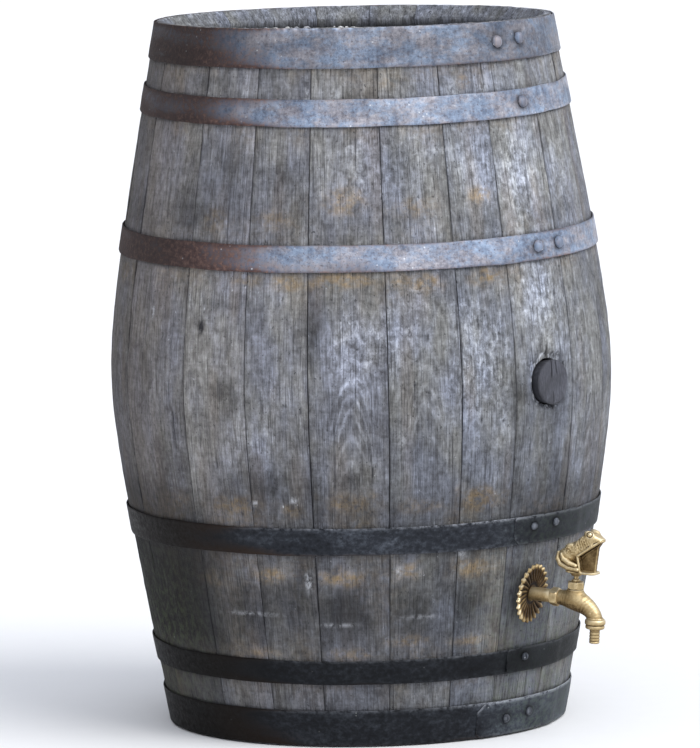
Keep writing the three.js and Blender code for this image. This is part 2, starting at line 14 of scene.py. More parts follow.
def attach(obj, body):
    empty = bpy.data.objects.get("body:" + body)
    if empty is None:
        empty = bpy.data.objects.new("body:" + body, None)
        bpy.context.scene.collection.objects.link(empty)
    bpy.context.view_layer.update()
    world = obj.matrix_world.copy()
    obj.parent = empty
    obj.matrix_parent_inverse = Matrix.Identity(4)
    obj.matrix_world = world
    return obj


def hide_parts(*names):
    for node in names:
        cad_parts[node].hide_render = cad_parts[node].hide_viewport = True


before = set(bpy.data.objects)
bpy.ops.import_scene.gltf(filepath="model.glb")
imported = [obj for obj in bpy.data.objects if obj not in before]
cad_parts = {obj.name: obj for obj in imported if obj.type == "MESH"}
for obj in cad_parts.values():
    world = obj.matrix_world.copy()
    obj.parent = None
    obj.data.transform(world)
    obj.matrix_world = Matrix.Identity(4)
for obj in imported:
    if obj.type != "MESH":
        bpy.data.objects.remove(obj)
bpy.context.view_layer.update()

# ---------------------------------------------------------------- driving dimensions, in millimetres

BARREL_HEIGHT = 950
BILGE_RADIUS = 338
FLARE_SLOPE = 0.19  # how fast each end narrows, mm for each mm along
BILGE_ROUNDING = 20
STAVE_THICKNESS = 26
CHIME_FLAT = 9
CHIME_BEVEL = 18
CROZE_HEIGHT = 44
CROZE_WIDTH = 7
CROZE_DEPTH = 5
# In degrees: the first joint, the half gap at each joint, and the staves' widths from there on.
FIRST_JOINT = -67
JOINT_GAP = 0.09
STAVE_WIDTHS = (23, 17, 15, 18, 17, 14, 19, 17, 19, 14, 18, 16, 20, 15, 17, 18, 14, 19, 16, 17, 17)
BUNG_STAVE = 6  # the one with the bung and the tap, counted from 0

HEAD_BOARDS = 5
HEAD_THICKNESS = 22
HEAD_BEVEL = 30
HEAD_GAP = 0.8

HOOP_THICKNESS = 2
HOOP_CLEARANCE = 0.95
TOUCH_GAP = 0.3
RIVET_SHANK = 2.8

# One row for each hoop: its edges where it crosses the sides, how far each edge drops at the front,
# the azimuths of its two ends, the cut lower and upper corner of its outer end, and its rivets. Then
# its looks: extra rust, how light it is, and how much painted light it gets at the right (painted shade where
# this is below zero).
HOOPS = (
    dict(name="hoop_1_top", low=901.5, high=949.3, drop=(4, 0), inner_end=28.5, outer_end=61, clip=(5, 3),
         rivets=((42.7, 923), (51.8, 925.5)), head=8, steel="galvanised_steel",
         rust=0.02, tone_and_painted_light=0.68, right=-0.1),
    dict(name="hoop_2_upper_quarter", low=831, high=866.5, drop=(9, 9), inner_end=36, outer_end=59,
         clip=(6, 4), rivets=((49, 843),), head=8, steel="galvanised_steel",
         rust=0.04, tone_and_painted_light=1.0, right=0.0),
    dict(name="hoop_3_upper_bilge", low=642.5, high=677.5, drop=(8, 8), inner_end=38, outer_end=59.5,
         clip=(3, 3), rivets=((46.8, 654), (54.6, 656)), head=8, steel="galvanised_steel",
         rust=0.24, tone_and_painted_light=1.0, right=0.0),
    dict(name="hoop_4_lower_bilge", low=262, high=299, drop=(0, 0), inner_end=61, outer_end=38.2,
         clip=(9, 2), rivets=((44.1, 286), (51.8, 287)), head=5.5, steel="black_steel",
         rust=0, tone_and_painted_light=0.96, right=-0.2),
    dict(name="hoop_5_lower_quarter", low=88.5, high=121, drop=(2.5, 2.5), inner_end=60,
         outer_end=39.9, clip=(3, 2), rivets=((46, 108),), head=5.5, steel="black_steel",
         rust=0, tone_and_painted_light=0.32, right=0.0),
    dict(name="hoop_6_bottom", low=2.5, high=50, drop=(0, 0), inner_end=63, outer_end=31.5, clip=(5, 12),
         rivets=((41.5, 26), (50.6, 30)), head=6, steel="black_steel",
         rust=0, tone_and_painted_light=0.5, right=2.6),
)

# The bung: where its middle lies, its radius at the stave's face, how far it stands out of the wood and
# goes into it, and how much thinner its inner end is.
BUNG = dict(azimuth=47.4, height=476, radius=30.5, proud=7, depth=21, taper=3)

# The tap: where its pipe comes out of the barrel, how far in front of the wood its frame starts, the
# azimuth that it faces, and how many degrees it hangs down. The rosette leans against the wood. The
# spindle and the spout lie that far out along the pipe.
TAP = dict(azimuth=45, height=194, stand=9, facing=60, fall=4)
ROSETTE_TILT = 6
SPINDLE_X = 65.7
SPOUT_X = 96.8

# ---------------------------------------------------------------- numbers and noise


def lattice_value(x, y, z, seed):
    """A repeatable number from 0 to 1 for each whole-numbered corner."""
    mixed = (x * 374761393 + y * 668265263 + z * 1103515245 + seed * 362437) & 0xFFFFFFFF
    mixed = ((mixed ^ (mixed >> 13)) * 1274126177) & 0xFFFFFFFF
    mixed = mixed ^ (mixed >> 16)
    return (mixed & 0xFFFF) / 65535


def noise(x, y, z=0.0, seed=0):
    """Smooth noise from -1 to 1 that changes over about one unit."""
    x, y, z = np.broadcast_arrays(*[np.asarray(v, float) for v in (x, y, z)])
    cells = [np.floor(v).astype(np.int64) for v in (x, y, z)]
    shares = [v - c for v, c in zip((x, y, z), cells)]
    shares = [s * s * (3 - 2 * s) for s in shares]
    total = 0
    for dx in (0, 1):
        for dy in (0, 1):
            for dz in (0, 1):
                weight = 1
                for share, step in zip(shares, (dx, dy, dz)):
                    weight = weight * (share if step else 1 - share)
                total = total + weight * lattice_value(cells[0] + dx, cells[1] + dy, cells[2] + dz, seed)
    return 2 * total - 1


def ramp(value, start, end):
    """0 below start, 1 above end, smooth between."""
    share = np.clip((value - start) / (end - start), 0, 1)
    return share * share * (3 - 2 * share)


def fade(value, start, end):
    """1 below start, 0 above end, smooth between."""
    return 1 - ramp(value, start, end)


def plateau(value, start, full, falling, end):
    """0 up to start, 1 from full to falling, 0 beyond end, smooth between."""
    return ramp(value, start, full) * fade(value, falling, end)


def wrapped(azimuth):
    """The same azimuth between -180 and 180."""
    return (azimuth + 180) % 360 - 180


def bump_at(value, middle, width):
    """A soft bump, 1 at the middle."""
    return np.exp(-(((value - middle) / width) ** 2))


def outer_radius(height):
    """The barrel's outline: two straight flares joined by a rounded bilge."""
    flare = np.hypot(FLARE_SLOPE * (height - BARREL_HEIGHT / 2), BILGE_ROUNDING)
    return BILGE_RADIUS - (flare - BILGE_ROUNDING)


def outer_slope(height):
    """How far the surface leans out for each millimetre up."""
    up = height - BARREL_HEIGHT / 2
    return -(FLARE_SLOPE ** 2) * up / np.hypot(FLARE_SLOPE * up, BILGE_ROUNDING)


def on_barrel(azimuth, radius, height):
    """Points from azimuths in degrees, radii and heights."""
    turn = np.radians(azimuth)
    return np.stack([radius * np.sin(turn), -radius * np.cos(turn), height + 0 * turn], axis=-1)


# ---------------------------------------------------------------- meshes


def new_object(name, points, faces, placed=None):
    """A mesh object from points in millimetres, put in place."""
    points = np.asarray(points, float).reshape(-1, 3)
    if placed is not None:
        points = points @ placed[:3, :3].T + placed[:3, 3]
    mesh = bpy.data.meshes.new(name)
    mesh.from_pydata((points / 1000).tolist(), [], faces)
    made = bpy.data.objects.new(name, mesh)
    bpy.context.scene.collection.objects.link(made)
    return made


def make_piece(node, shape, material, body="barrel", placed=None, sharp=50):
    """One visible piece, smooth but for edges over the sharp angle. It stands in for its CAD node."""
    piece = new_object("look_" + node, *shape, placed)
    piece.data.validate()
    piece.data.shade_smooth()
    piece.data.set_sharp_from_angle(angle=math.radians(sharp))
    piece.data.materials.append(MATERIALS[material])
    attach(piece, body)
    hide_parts(node)
    return piece


def paint(piece, name, values):
    """Stores one number or one vector at each corner of the mesh, or one number at all of them."""
    values = np.asarray(values, np.float32)
    if values.ndim == 0:
        values = np.full(len(piece.data.vertices), values)
    kind, field = ("FLOAT", "value") if values.ndim == 1 else ("FLOAT_VECTOR", "vector")
    attribute = piece.data.attributes.new(name, kind, "POINT")
    attribute.data.foreach_set(field, values.ravel())


def corner_points(piece):
    """The corners of a piece in millimetres."""
    points = np.zeros(len(piece.data.vertices) * 3, np.float32)
    piece.data.vertices.foreach_get("co", points)
    return points.reshape(-1, 3).astype(float) * 1000


def tube_faces(rings, around, closed=True):
    """Quads between rings of corners that follow one another."""
    spans = around if closed else around - 1
    ring, k = np.meshgrid(np.arange(rings - 1), np.arange(spans), indexing="ij")
    a = ring * around + k
    b = ring * around + (k + 1) % around
    return np.stack([a, b, b + around, a + around], axis=-1).reshape(-1, 4).tolist()


def capped_tube(rings, around):
    """The same with both ends closed."""
    last = (rings - 1) * around
    ends = [list(range(around))[::-1], list(range(last, last + around))]
    return tube_faces(rings, around) + ends


def ring_faces(around, count):
    """Quads round a closed ring whose section has count corners."""
    a, k = np.meshgrid(np.arange(around), np.arange(count), indexing="ij")
    b = (a + 1) % around
    k2 = (k + 1) % count
    return np.stack([a * count + k, b * count + k, b * count + k2, a * count + k2], -1).reshape(-1, 4)


def grid_border(rows, columns):
    """The corners round the edge of a grid, in order."""
    number = np.arange(rows * columns).reshape(rows, columns)
    sides = (number[0], number[1:, -1], number[-1, -2::-1], number[-2:0:-1, 0])
    return np.concatenate(sides).tolist()


def skirt(upper, lower):
    """Quads between two loops of corner numbers."""
    quads = zip(upper[1:] + upper[:1], upper, lower, lower[1:] + lower[:1])
    return [list(quad) for quad in quads]


def full_turn(around):
    """The angles of the corners round a ring."""
    return np.linspace(0, 2 * math.pi, around, endpoint=False)


def circles(stations, around, radius_at=None):
    """A ring of corners about +Z for each (radius, height) station. radius_at(turn, radius, height)
    may change the radius round it."""
    turn = full_turn(around)
    rings = []
    for radius, height in stations:
        reach = radius if radius_at is None else radius_at(turn, radius, height)
        rings.append(np.stack([reach * np.cos(turn), reach * np.sin(turn), height + 0 * turn], -1))
    return rings


def turned(stations, around, radius_at=None):
    """A round solid about +Z from (radius, height) stations, bottom to top."""
    points = np.concatenate(circles(stations, around, radius_at))
    return points, capped_tube(len(stations), around)


def ring_of(section, around, radius_at=None):
    """A round solid with a bore: (radius, height) corners run anticlockwise round its closed section."""
    points = np.stack(circles(section, around, radius_at), axis=1)
    return points.reshape(-1, 3), ring_faces(around, len(section)).tolist()


def subtract(piece, shape, placed):
    """Cuts a shape out of a piece."""
    cutter = new_object("cutter", *shape, placed)
    modifier = piece.modifiers.new("cut", "BOOLEAN")
    modifier.operation = "DIFFERENCE"
    modifier.solver = "EXACT"
    modifier.object = cutter
    bpy.context.view_layer.update()
    depsgraph = bpy.context.evaluated_depsgraph_get()
    result = bpy.data.meshes.new_from_object(piece.evaluated_get(depsgraph))
    piece.modifiers.remove(modifier)
    piece.data = result
    bpy.data.objects.remove(cutter)


# ---------------------------------------------------------------- places


def surface_frame(azimuth, height):
    """+Z square to the outer surface, +Y up the barrel, origin on the surface."""
    out = on_barrel(azimuth, 1.0, 0.0)
    normal = out + np.array([0, 0, -outer_slope(height)])
    normal /= np.linalg.norm(normal)
    along = np.cross([0, 0, 1], out)
    placed = np.eye(4)
    placed[:3, 0] = along
    placed[:3, 1] = np.cross(normal, along)
    placed[:3, 2] = normal
    placed[:3, 3] = on_barrel(azimuth, outer_radius(height), height)
    return placed


def tap_frame():
    """+X out along the pipe, +Z up the spindle."""
    fall = math.radians(TAP["fall"])
    level = on_barrel(TAP["facing"], 1.0, 0.0)
    pipe = level * math.cos(fall) + np.array([0, 0, -math.sin(fall)])
    spindle_way = level * math.sin(fall) + np.array([0, 0, math.cos(fall)])
    placed = np.eye(4)
    placed[:3, 0] = pipe
    placed[:3, 1] = np.cross(spindle_way, pipe)
    placed[:3, 2] = spindle_way
    placed[:3, 3] = on_barrel(TAP["azimuth"], outer_radius(TAP["height"]) + TAP["stand"], TAP["height"])
    return placed


def shifted(placed, x):
    """The frame moved along its own +X."""
    moved = placed.copy()
    moved[:3, 3] = placed[:3, :3] @ np.array([x, 0, 0]) + placed[:3, 3]
    return moved


def lying(placed):
    """The frame whose +Z runs along the old +X."""
    rotated = placed.copy()
    rotated[:3, 0] = -placed[:3, 2]
    rotated[:3, 2] = placed[:3, 0]
    return rotated


tap = tap_frame()
spindle = shifted(tap, SPINDLE_X)
spout = shifted(tap, SPOUT_X)

# ---------------------------------------------------------------- material tools


class NodeTree:
    """Builds procedural nodes. An input may be given as a socket, a number, a vector or a colour."""

    def __init__(self, tree):
        self.tree = tree

    def put(self, socket, value):
        """Links a socket or sets a constant."""
        if isinstance(value, bpy.types.NodeSocket):
            self.tree.links.new(value, socket)
        elif isinstance(value, tuple) and socket.type == "RGBA":
            socket.default_value = (*value, 1)
        else:
            socket.default_value = value

    def node(self, kind, inputs, output=0, **settings):
        """Adds a node, sets it up and returns one of its outputs."""
        node = self.tree.nodes.new("ShaderNode" + kind)
        for name, value in settings.items():
            setattr(node, name, value)
        for name, value in inputs.items():
            self.put(node.inputs[name], value)
        return node.outputs[output]

    def place(self):
        """Position in the frame, in metres."""
        return self.node("TexCoord", {}, "Object")

    def attribute(self, name, output="Fac"):
        """What was painted on the piece under this name."""
        return self.node("Attribute", {}, output, attribute_name=name)

    def stretch(self, vector, x, y, z):
        """Coordinates scaled along each axis."""
        return self.node("VectorMath", {0: vector, 1: (x, y, z)}, operation="MULTIPLY")

    def grained(self, vector, stretch, **settings):
        """Noise stretched along each axis: the larger the number, the finer."""
        return self.noise(self.stretch(vector, *stretch), **settings)

    def noise(self, vector, scale=1.0, detail=3.0, rough=0.6, distortion=0.0):
        """Fractal noise from 0 to 1."""
        inputs = {"Vector": vector, "Scale": scale, "Detail": detail, "Roughness": rough}
        return self.node("TexNoise", {**inputs, "Distortion": distortion}, "Fac")

    def math(self, operation, a, b=0.0, clamp=False):
        return self.node("Math", {0: a, 1: b}, operation=operation, use_clamp=clamp)

    def times(self, a, b):
        return self.math("MULTIPLY", a, b)

    def total(self, *layers):
        """The sum of (value, weight) layers."""
        whole = self.times(*layers[0])
        for value, weight in layers[1:]:
            whole = self.math("ADD", whole, self.times(value, weight))
        return whole

    def between(self, value, start, end, low=0.0, high=1.0):
        """The value moved from start..end to low..high, held at both ends."""
        inputs = {"Value": value, "From Min": start, "From Max": end, "To Min": low, "To Max": high}
        return self.node("MapRange", inputs, "Result")

    def colours(self, value, stops):
        """A colour for each value, from (value, red, green, blue) stops."""
        socket = self.node("ValToRGB", {"Fac": value}, "Color")
        elements = socket.node.color_ramp.elements
        while len(elements) < len(stops):
            elements.new(0.5)
        for element, (at, *colour) in zip(elements, stops):
            element.position = at
            element.color = (*colour, 1)
        return socket

    def mix(self, share, a, b, blend="MIX"):
        """Two colours, by how much of the second."""
        return self.node("Mix", {0: share, 6: a, 7: b}, 2, data_type="RGBA", blend_type=blend)

    def shade(self, colour, value):
        """The colour made lighter or darker by a number."""
        return self.node("VectorMath", {0: colour, "Scale": value}, operation="SCALE")

    def specks(self, vector, density, core, edge, where):
        """Round specks that are solid out to core and gone by edge, where the last value allows them."""
        distance = self.node("TexVoronoi", {"Vector": vector, "Scale": density}, "Distance")
        return self.times(self.between(distance, core, edge, 1.0, 0.0), where)

    def bump(self, height, distance):
        """A normal roughened by a height, distance metres deep."""
        return self.node("Bump", {"Height": height, "Distance": distance})


class Shader(NodeTree):
    """One material around a Principled shader."""

    def __init__(self, name):
        self.material = bpy.data.materials.new(name)
        self.material.use_nodes = True
        super().__init__(self.material.node_tree)
        self.tree.nodes.clear()
        self.surface = self.tree.nodes.new("ShaderNodeBsdfPrincipled")
        output = self.tree.nodes.new("ShaderNodeOutputMaterial")
        self.put(output.inputs["Surface"], self.surface.outputs[0])

    def finish(self, colour, roughness, metallic=0.0, normal=None, specular=0.5):
        """Gives the shader its inputs and returns the material."""
        inputs = self.surface.inputs
        self.put(inputs["Base Color"], colour)
        self.put(inputs["Roughness"], roughness)
        self.put(inputs["Metallic"], metallic)
        self.put(inputs["Specular IOR Level"], specular)
        if normal is not None:
            self.put(inputs["Normal"], normal)
        return self.material


# ---------------------------------------------------------------- materials


def weathered_oak():
    """Silvered oak. The staves carry grain coordinates (across, along, deep), the field whose contour
    lines are the growth rings, how plainly that figure shows, silvery wood, lime, dirt with painted
    shade, rust stain, bare brown wood, how light the wood is with painted light and shade, and moss."""
    s = Shader("weathered_oak")
    grain = s.attribute("grain", "Vector")
    fibres = s.grained(grain, (620, 30, 240), detail=5, rough=0.72)
    streaks = s.grained(grain, (230, 6, 80), detail=4, rough=0.62, distortion=0.2)
    hairs = s.grained(grain, (900, 16, 300), detail=3, rough=0.6)
    mottle = s.grained(grain, (120, 90, 80), detail=5, rough=0.70, distortion=0.3)
    clouds = s.grained(grain, (26, 17, 20), detail=4, rough=0.62, distortion=0.4)
    warmth = s.grained(grain, (17, 7, 12), detail=3)
    scuffs = s.grained(grain, (22, 330, 60), detail=3, rough=0.6)
    wave = s.math("SINE", s.total((s.attribute("ring"), 6.283), (streaks, 1.6)))
    figure = s.times(s.between(wave, -0.1, 1.0, -0.6, 1.0), s.attribute("figure"))

    light = s.total((fibres, 0.70), (streaks, 0.34), (mottle, 0.80), (clouds, 0.58), (scuffs, 0.16),
                    (figure, 0.10))
    lifted = s.times(s.attribute("silver"), s.between(mottle, 0.36, 0.62, 0.02, 0.26))
    light = s.math("ADD", s.math("SUBTRACT", light, 0.79), lifted)
    grey = s.colours(light, (
        (0.08, 0.030, 0.031, 0.036), (0.34, 0.100, 0.102, 0.110), (0.52, 0.185, 0.192, 0.208),
        (0.72, 0.310, 0.325, 0.362), (0.98, 0.600, 0.630, 0.700)))
    olive = s.mix(1.0, grey, (1.03, 1.0, 0.90), "MULTIPLY")
    blue = s.mix(1.0, grey, (0.96, 0.99, 1.08), "MULTIPLY")
    colour = s.mix(s.between(warmth, 0.38, 0.62), blue, olive)

    brown = s.colours(light, ((0.1, 0.045, 0.034, 0.028), (0.9, 0.30, 0.245, 0.205)))
    colour = s.mix(s.attribute("bare"), colour, brown)
    ochre = s.colours(light, ((0.1, 0.095, 0.066, 0.036), (0.9, 0.48, 0.350, 0.200)))
    blot = s.between(s.grained(grain, (80, 90, 30), detail=5, rough=0.7), 0.36, 0.62)
    colour = s.mix(s.times(s.attribute("stain"), blot), colour, ochre)
    # Painted light and shade go in with the wood's tone: darker on the left and low down, lighter up on the
    # right.
    colour = s.shade(colour, s.attribute("tone_and_painted_light"))

    cracks = s.between(s.grained(grain, (360, 5, 60), detail=2, rough=0.5), 0.30, 0.35, 1.0, 0.0)
    cracks = s.times(cracks, s.between(clouds, 0.36, 0.56, 0.1, 0.62))
    dashes = s.between(hairs, 0.36, 0.43, 0.5, 0.0)
    pits = s.between(s.grained(grain, (260, 170, 200), detail=2), 0.30, 0.34, 0.6, 0.0)
    marks = s.math("MAXIMUM", s.math("MAXIMUM", cracks, dashes), pits)
    # Dark joints, splits and dirt, with painted shade under the hoops and round the bung.
    dirt_and_shade = s.math("ADD", s.attribute("dirt_and_shade"), marks, clamp=True)
    colour = s.mix(dirt_and_shade, colour, (0.018, 0.018, 0.022))
    specks = s.specks(s.stretch(grain, 1, 0.6, 1), 95, 0.05, 0.12, s.between(mottle, 0.58, 0.64))
    smears = s.times(s.attribute("lime"), s.between(mottle, 0.40, 0.58))
    colour = s.mix(s.math("MAXIMUM", s.times(specks, 0.8), smears), colour, (0.60, 0.62, 0.66))
    moss = s.times(s.attribute("moss"), s.between(mottle, 0.45, 0.62))
    colour = s.mix(moss, colour, (0.060, 0.078, 0.036))

    relief = s.total((fibres, 0.45), (streaks, 0.45), (mottle, 1.4), (dirt_and_shade, -0.35), (figure, 0.2))
    rough = s.between(clouds, 0.3, 0.7, 0.72, 0.92)
    return s.finish(colour, rough, normal=s.bump(relief, 0.0020), specular=0.3)


def head_oak():
    """The brown, damp wood of the bottom head."""
    s = Shader("head_oak")
    fibres = s.grained(s.place(), (26, 520, 300), detail=4, rough=0.7)
    clouds = s.noise(s.place(), 9, detail=4)
    colour = s.colours(s.total((fibres, 0.6), (clouds, 0.4)), (
        (0.3, 0.045, 0.034, 0.026), (0.52, 0.12, 0.092, 0.067), (0.75, 0.24, 0.20, 0.155)))
    rough = s.between(clouds, 0.3, 0.7, 0.6, 0.9)
    return s.finish(colour, rough, normal=s.bump(fibres, 0.0008), specular=0.3)


def bung_wood():
    """End grain of a dark, wet bung."""
    s = Shader("bung_wood")
    grain = s.attribute("grain", "Vector")
    fibres = s.grained(grain, (520, 90, 300), detail=4, rough=0.65)
    clouds = s.grained(grain, (60, 45, 50), detail=4)
    colour = s.colours(s.total((fibres, 0.5), (clouds, 0.5)), (
        (0.3, 0.020, 0.020, 0.024), (0.5, 0.050, 0.051, 0.062), (0.72, 0.12, 0.124, 0.148)))
    colour = s.mix(s.attribute("dirt_and_shade"), colour, (0.015, 0.015, 0.018))
    rough = s.between(clouds, 0.3, 0.7, 0.6, 0.85)
    return s.finish(colour, rough, normal=s.bump(fibres, 0.0007), specular=0.35)


def galvanised_steel():
    """Old zinc coat: blue-grey clouds, brown where it has worn through."""
    s = Shader("galvanised_steel")
    strip = s.attribute("strip", "Vector")
    clouds = s.grained(strip, (16, 30, 1), detail=5, rough=0.66, distortion=0.6)
    crust = s.grained(strip, (150, 150, 1), detail=5, rough=0.74)
    runs = s.grained(strip, (130, 16, 1), detail=3, rough=0.6)
    hue = s.grained(strip, (26, 40, 1), detail=5, rough=0.75)
    freckles = s.between(s.grained(strip, (260, 260, 1), detail=3, rough=0.7), 0.56, 0.66)
    light = s.math("SUBTRACT", s.total((clouds, 0.46), (crust, 0.44), (runs, 0.20)), 0.01)
    zinc = s.colours(light, (
        (0.34, 0.066, 0.072, 0.092), (0.46, 0.150, 0.163, 0.200), (0.55, 0.262, 0.284, 0.332),
        (0.70, 0.480, 0.510, 0.570)))
    blue = s.mix(1.0, zinc, (0.84, 0.98, 1.14), "MULTIPLY")
    mauve = s.mix(1.0, zinc, (1.10, 0.99, 0.94), "MULTIPLY")
    zinc = s.mix(s.between(hue, 0.42, 0.58), blue, mauve)
    rust = s.colours(crust, (
        (0.3, 0.034, 0.018, 0.017), (0.5, 0.100, 0.056, 0.050), (0.72, 0.27, 0.160, 0.125)))
    patches = s.math("SUBTRACT", s.total((crust, 0.6), (clouds, 0.4)), 0.5)
    worn = s.between(s.math("ADD", s.attribute("rust"), s.times(patches, 1.9)), 0.34, 0.86)
    colour = s.mix(worn, zinc, rust)
    colour = s.mix(s.times(freckles, 0.6), colour, (0.075, 0.052, 0.060))
    specks = s.specks(strip, 95, 0.06, 0.13, s.between(clouds, 0.49, 0.56))
    colour = s.mix(s.times(specks, 0.8), colour, (0.72, 0.74, 0.78))
    # Painted shade round the rivets, with dirt; then the tone, with painted shade on the left and painted
    # light at the right.
    colour = s.mix(s.attribute("dirt_and_shade"), colour, (0.022, 0.020, 0.024))
    colour = s.shade(colour, s.attribute("tone_and_painted_light"))
    rough = s.between(worn, 0, 1, 0.44, 0.85)
    metal = s.between(worn, 0, 1, 0.35, 0.05)
    return s.finish(colour, rough, metallic=metal, normal=s.bump(crust, 0.0009), specular=0.4)


def black_steel():
    """Blackened hoop iron with bright edges: worn, and with a painted highlight."""
    s = Shader("black_steel")
    strip = s.attribute("strip", "Vector")
    clouds = s.grained(strip, (9, 26, 1), detail=5, rough=0.6, distortion=0.5)
    crust = s.grained(strip, (130, 150, 1), detail=4, rough=0.7)
    colour = s.colours(s.total((clouds, 0.45), (crust, 0.55)), (
        (0.36, 0.007, 0.0080, 0.0110), (0.50, 0.021, 0.0240, 0.0305), (0.60, 0.050, 0.0570, 0.0700),
        (0.74, 0.140, 0.1520, 0.1780)))
    # Bright edges: wear, with a painted highlight along the top edges and up on the rivets.
    edge = s.times(s.attribute("edge"), s.between(crust, 0.38, 0.62))
    colour = s.mix(edge, colour, (0.46, 0.48, 0.53))
    rust = s.between(s.math("ADD", s.attribute("rust"), s.times(crust, 0.8)), 0.75, 1.15)
    colour = s.mix(rust, colour, (0.030, 0.019, 0.014))
    moss = s.times(s.attribute("moss"), s.between(crust, 0.45, 0.6))
    colour = s.mix(moss, colour, (0.026, 0.036, 0.024))
    specks = s.specks(strip, 85, 0.05, 0.11, s.between(clouds, 0.54, 0.6))
    colour = s.mix(s.times(specks, 0.7), colour, (0.35, 0.36, 0.36))
    # Painted shade round the rivets, with dirt; then the tone, with painted shade on the left and painted
    # light at the right.
    colour = s.mix(s.attribute("dirt_and_shade"), colour, (0.004, 0.004, 0.005))
    colour = s.shade(colour, s.attribute("tone_and_painted_light"))
    rough = s.between(crust, 0.3, 0.7, 0.45, 0.72)
    return s.finish(colour, rough, normal=s.bump(crust, 0.0008), specular=0.12)


def brass():
    """Dull cast brass: bright on the rubbed parts and brown in the hollows, wear and patina with painted
    shade; painted shade underneath; darker with age, and with each piece's painted shade and highlights.
    """
    s = Shader("brass")
    clouds = s.noise(s.place(), 60, detail=4, rough=0.6)
    grains = s.noise(s.place(), 420, detail=3, rough=0.6)
    # Lighter on edges that stand out, darker in the hollows: wear and patina with painted shade.
    raised = s.between(s.node("NewGeometry", {}, "Pointiness"), 0.43, 0.53)
    upward = s.node("SeparateXYZ", {0: s.node("NewGeometry", {}, "Normal")}, 2)
    # Darker on faces that look down: painted shade underneath.
    down = s.between(upward, 0.55, -0.50)
    light = s.total((clouds, 0.30), (grains, 0.16), (raised, 0.46), (down, -0.25),
                    (s.attribute("age_and_light"), -0.17))
    colour = s.colours(light, (
        (0.10, 0.014, 0.008, 0.004), (0.28, 0.085, 0.050, 0.020), (0.44, 0.350, 0.250, 0.118),
        (0.58, 0.610, 0.480, 0.270), (0.80, 0.880, 0.770, 0.540)))
    rough = s.between(light, 0.2, 0.6, 0.66, 0.44)
    return s.finish(colour, rough, metallic=0.88, normal=s.bump(grains, 0.0003))


def rubber():
    """Black rubber, dusty grey in places."""
    s = Shader("rubber")
    dust = s.noise(s.place(), 160, detail=4)
    colour = s.colours(dust, ((0.35, 0.012, 0.012, 0.012), (0.7, 0.055, 0.052, 0.050)))
    rough = s.between(dust, 0.3, 0.7, 0.75, 0.95)
    return s.finish(colour, rough, normal=s.bump(dust, 0.0003), specular=0.3)


MATERIALS = {
    "weathered_oak": weathered_oak(),
    "head_oak": head_oak(),
    "bung_wood": bung_wood(),
    "galvanised_steel": galvanised_steel(),
    "black_steel": black_steel(),
    "brass": brass(),
    "rubber": rubber(),
}

# ---------------------------------------------------------------- staves

# How light each stave is, how brown, how strongly its growth rings arch, and how high up the arches meet.
STAVE_LOOKS = (
    (1.10, 0.22, 0.3, 520), (1.34, 0.20, 0.3, 610), (1.04, 0.14, 0.6, 350), (0.96, 0.12, 1.2, 440),
    (0.94, 0.04, 0.8, 450), (0.92, 0.0, 0.6, 520), (1.14, 0.0, 0.0, 500), (0.98, 0.03, 0.8, 420),
)
COMMON_LOOK = (0.9, 0.08, 0.9, 480)

# Patches on the wood, each: azimuth, height, half width in degrees, half height in mm, strength.
# Silvery, where the surface has weathered most:
SILVER = (
    (-1, 560, 4, 30, 0.6), (-1, 520, 5, 40, 0.8), (9, 545, 6, 40, 0.7), (27, 532, 6, 60, 1.0),
    (24, 480, 5, 40, 0.8), (14, 600, 6, 30, 0.5), (33, 470, 3, 90, 0.5), (2, 770, 7, 50, 0.6),
    (14, 800, 8, 60, 0.4), (32, 770, 6, 60, 0.5), (-24, 420, 6, 36, 0.4), (-20, 480, 5, 30, 0.4),
    (62, 740, 5, 60, 0.5), (44, 745, 8, 80, 0.9), (47, 590, 8, 60, 0.9), (60, 520, 4, 70, 0.4),
    (150, 560, 9, 90, 0.6), (210, 500, 8, 80, 0.6), (260, 700, 9, 70, 0.6), (120, 760, 8, 60, 0.5),
    (30, 95, 5, 20, 0.8),
)
# Ochre, from rust run off the hoops:
OCHRE = (
    (-27, 625, 4, 9, 0.7), (-17, 623, 4, 11, 0.8), (-4, 625, 7, 11, 1.0), (14, 619, 6, 11, 0.9),
    (31, 622, 4, 11, 1.0), (-50, 326, 5, 11, 0.6), (-30, 327, 7, 13, 0.9), (-17, 322, 3, 10, 0.7),
    (-3, 333, 6, 13, 0.9), (13, 325, 6, 11, 0.5), (28, 329, 6, 15, 1.0), (-42, 223, 5, 10, 0.6),
    (-24, 234, 5, 11, 0.9), (-5, 231, 6, 12, 1.0), (10, 237, 4, 12, 0.8), (27, 238, 6, 14, 1.0),
    (-28, 128, 5, 8, 0.7), (-4, 127, 6, 8, 0.7), (11, 143, 5, 9, 0.7), (28, 139, 6, 8, 0.7),
    (-3, 726, 5, 18, 0.7), (31.6, 727, 3, 9, 1.0), (14, 716, 6, 13, 0.5), (-36, 700, 4, 15, 0.6),
    (-20, 702, 5, 15, 0.5), (30.5, 876, 1.6, 11, 0.8), (9, 880, 4, 9, 0.4), (120, 326, 7, 14, 0.8),
    (160, 235, 8, 12, 0.8), (200, 622, 7, 12, 0.8), (238, 330, 6, 13, 0.8), (262, 232, 7, 12, 0.8),
    (100, 625, 5, 12, 0.7), (285, 620, 5, 12, 0.6),
)
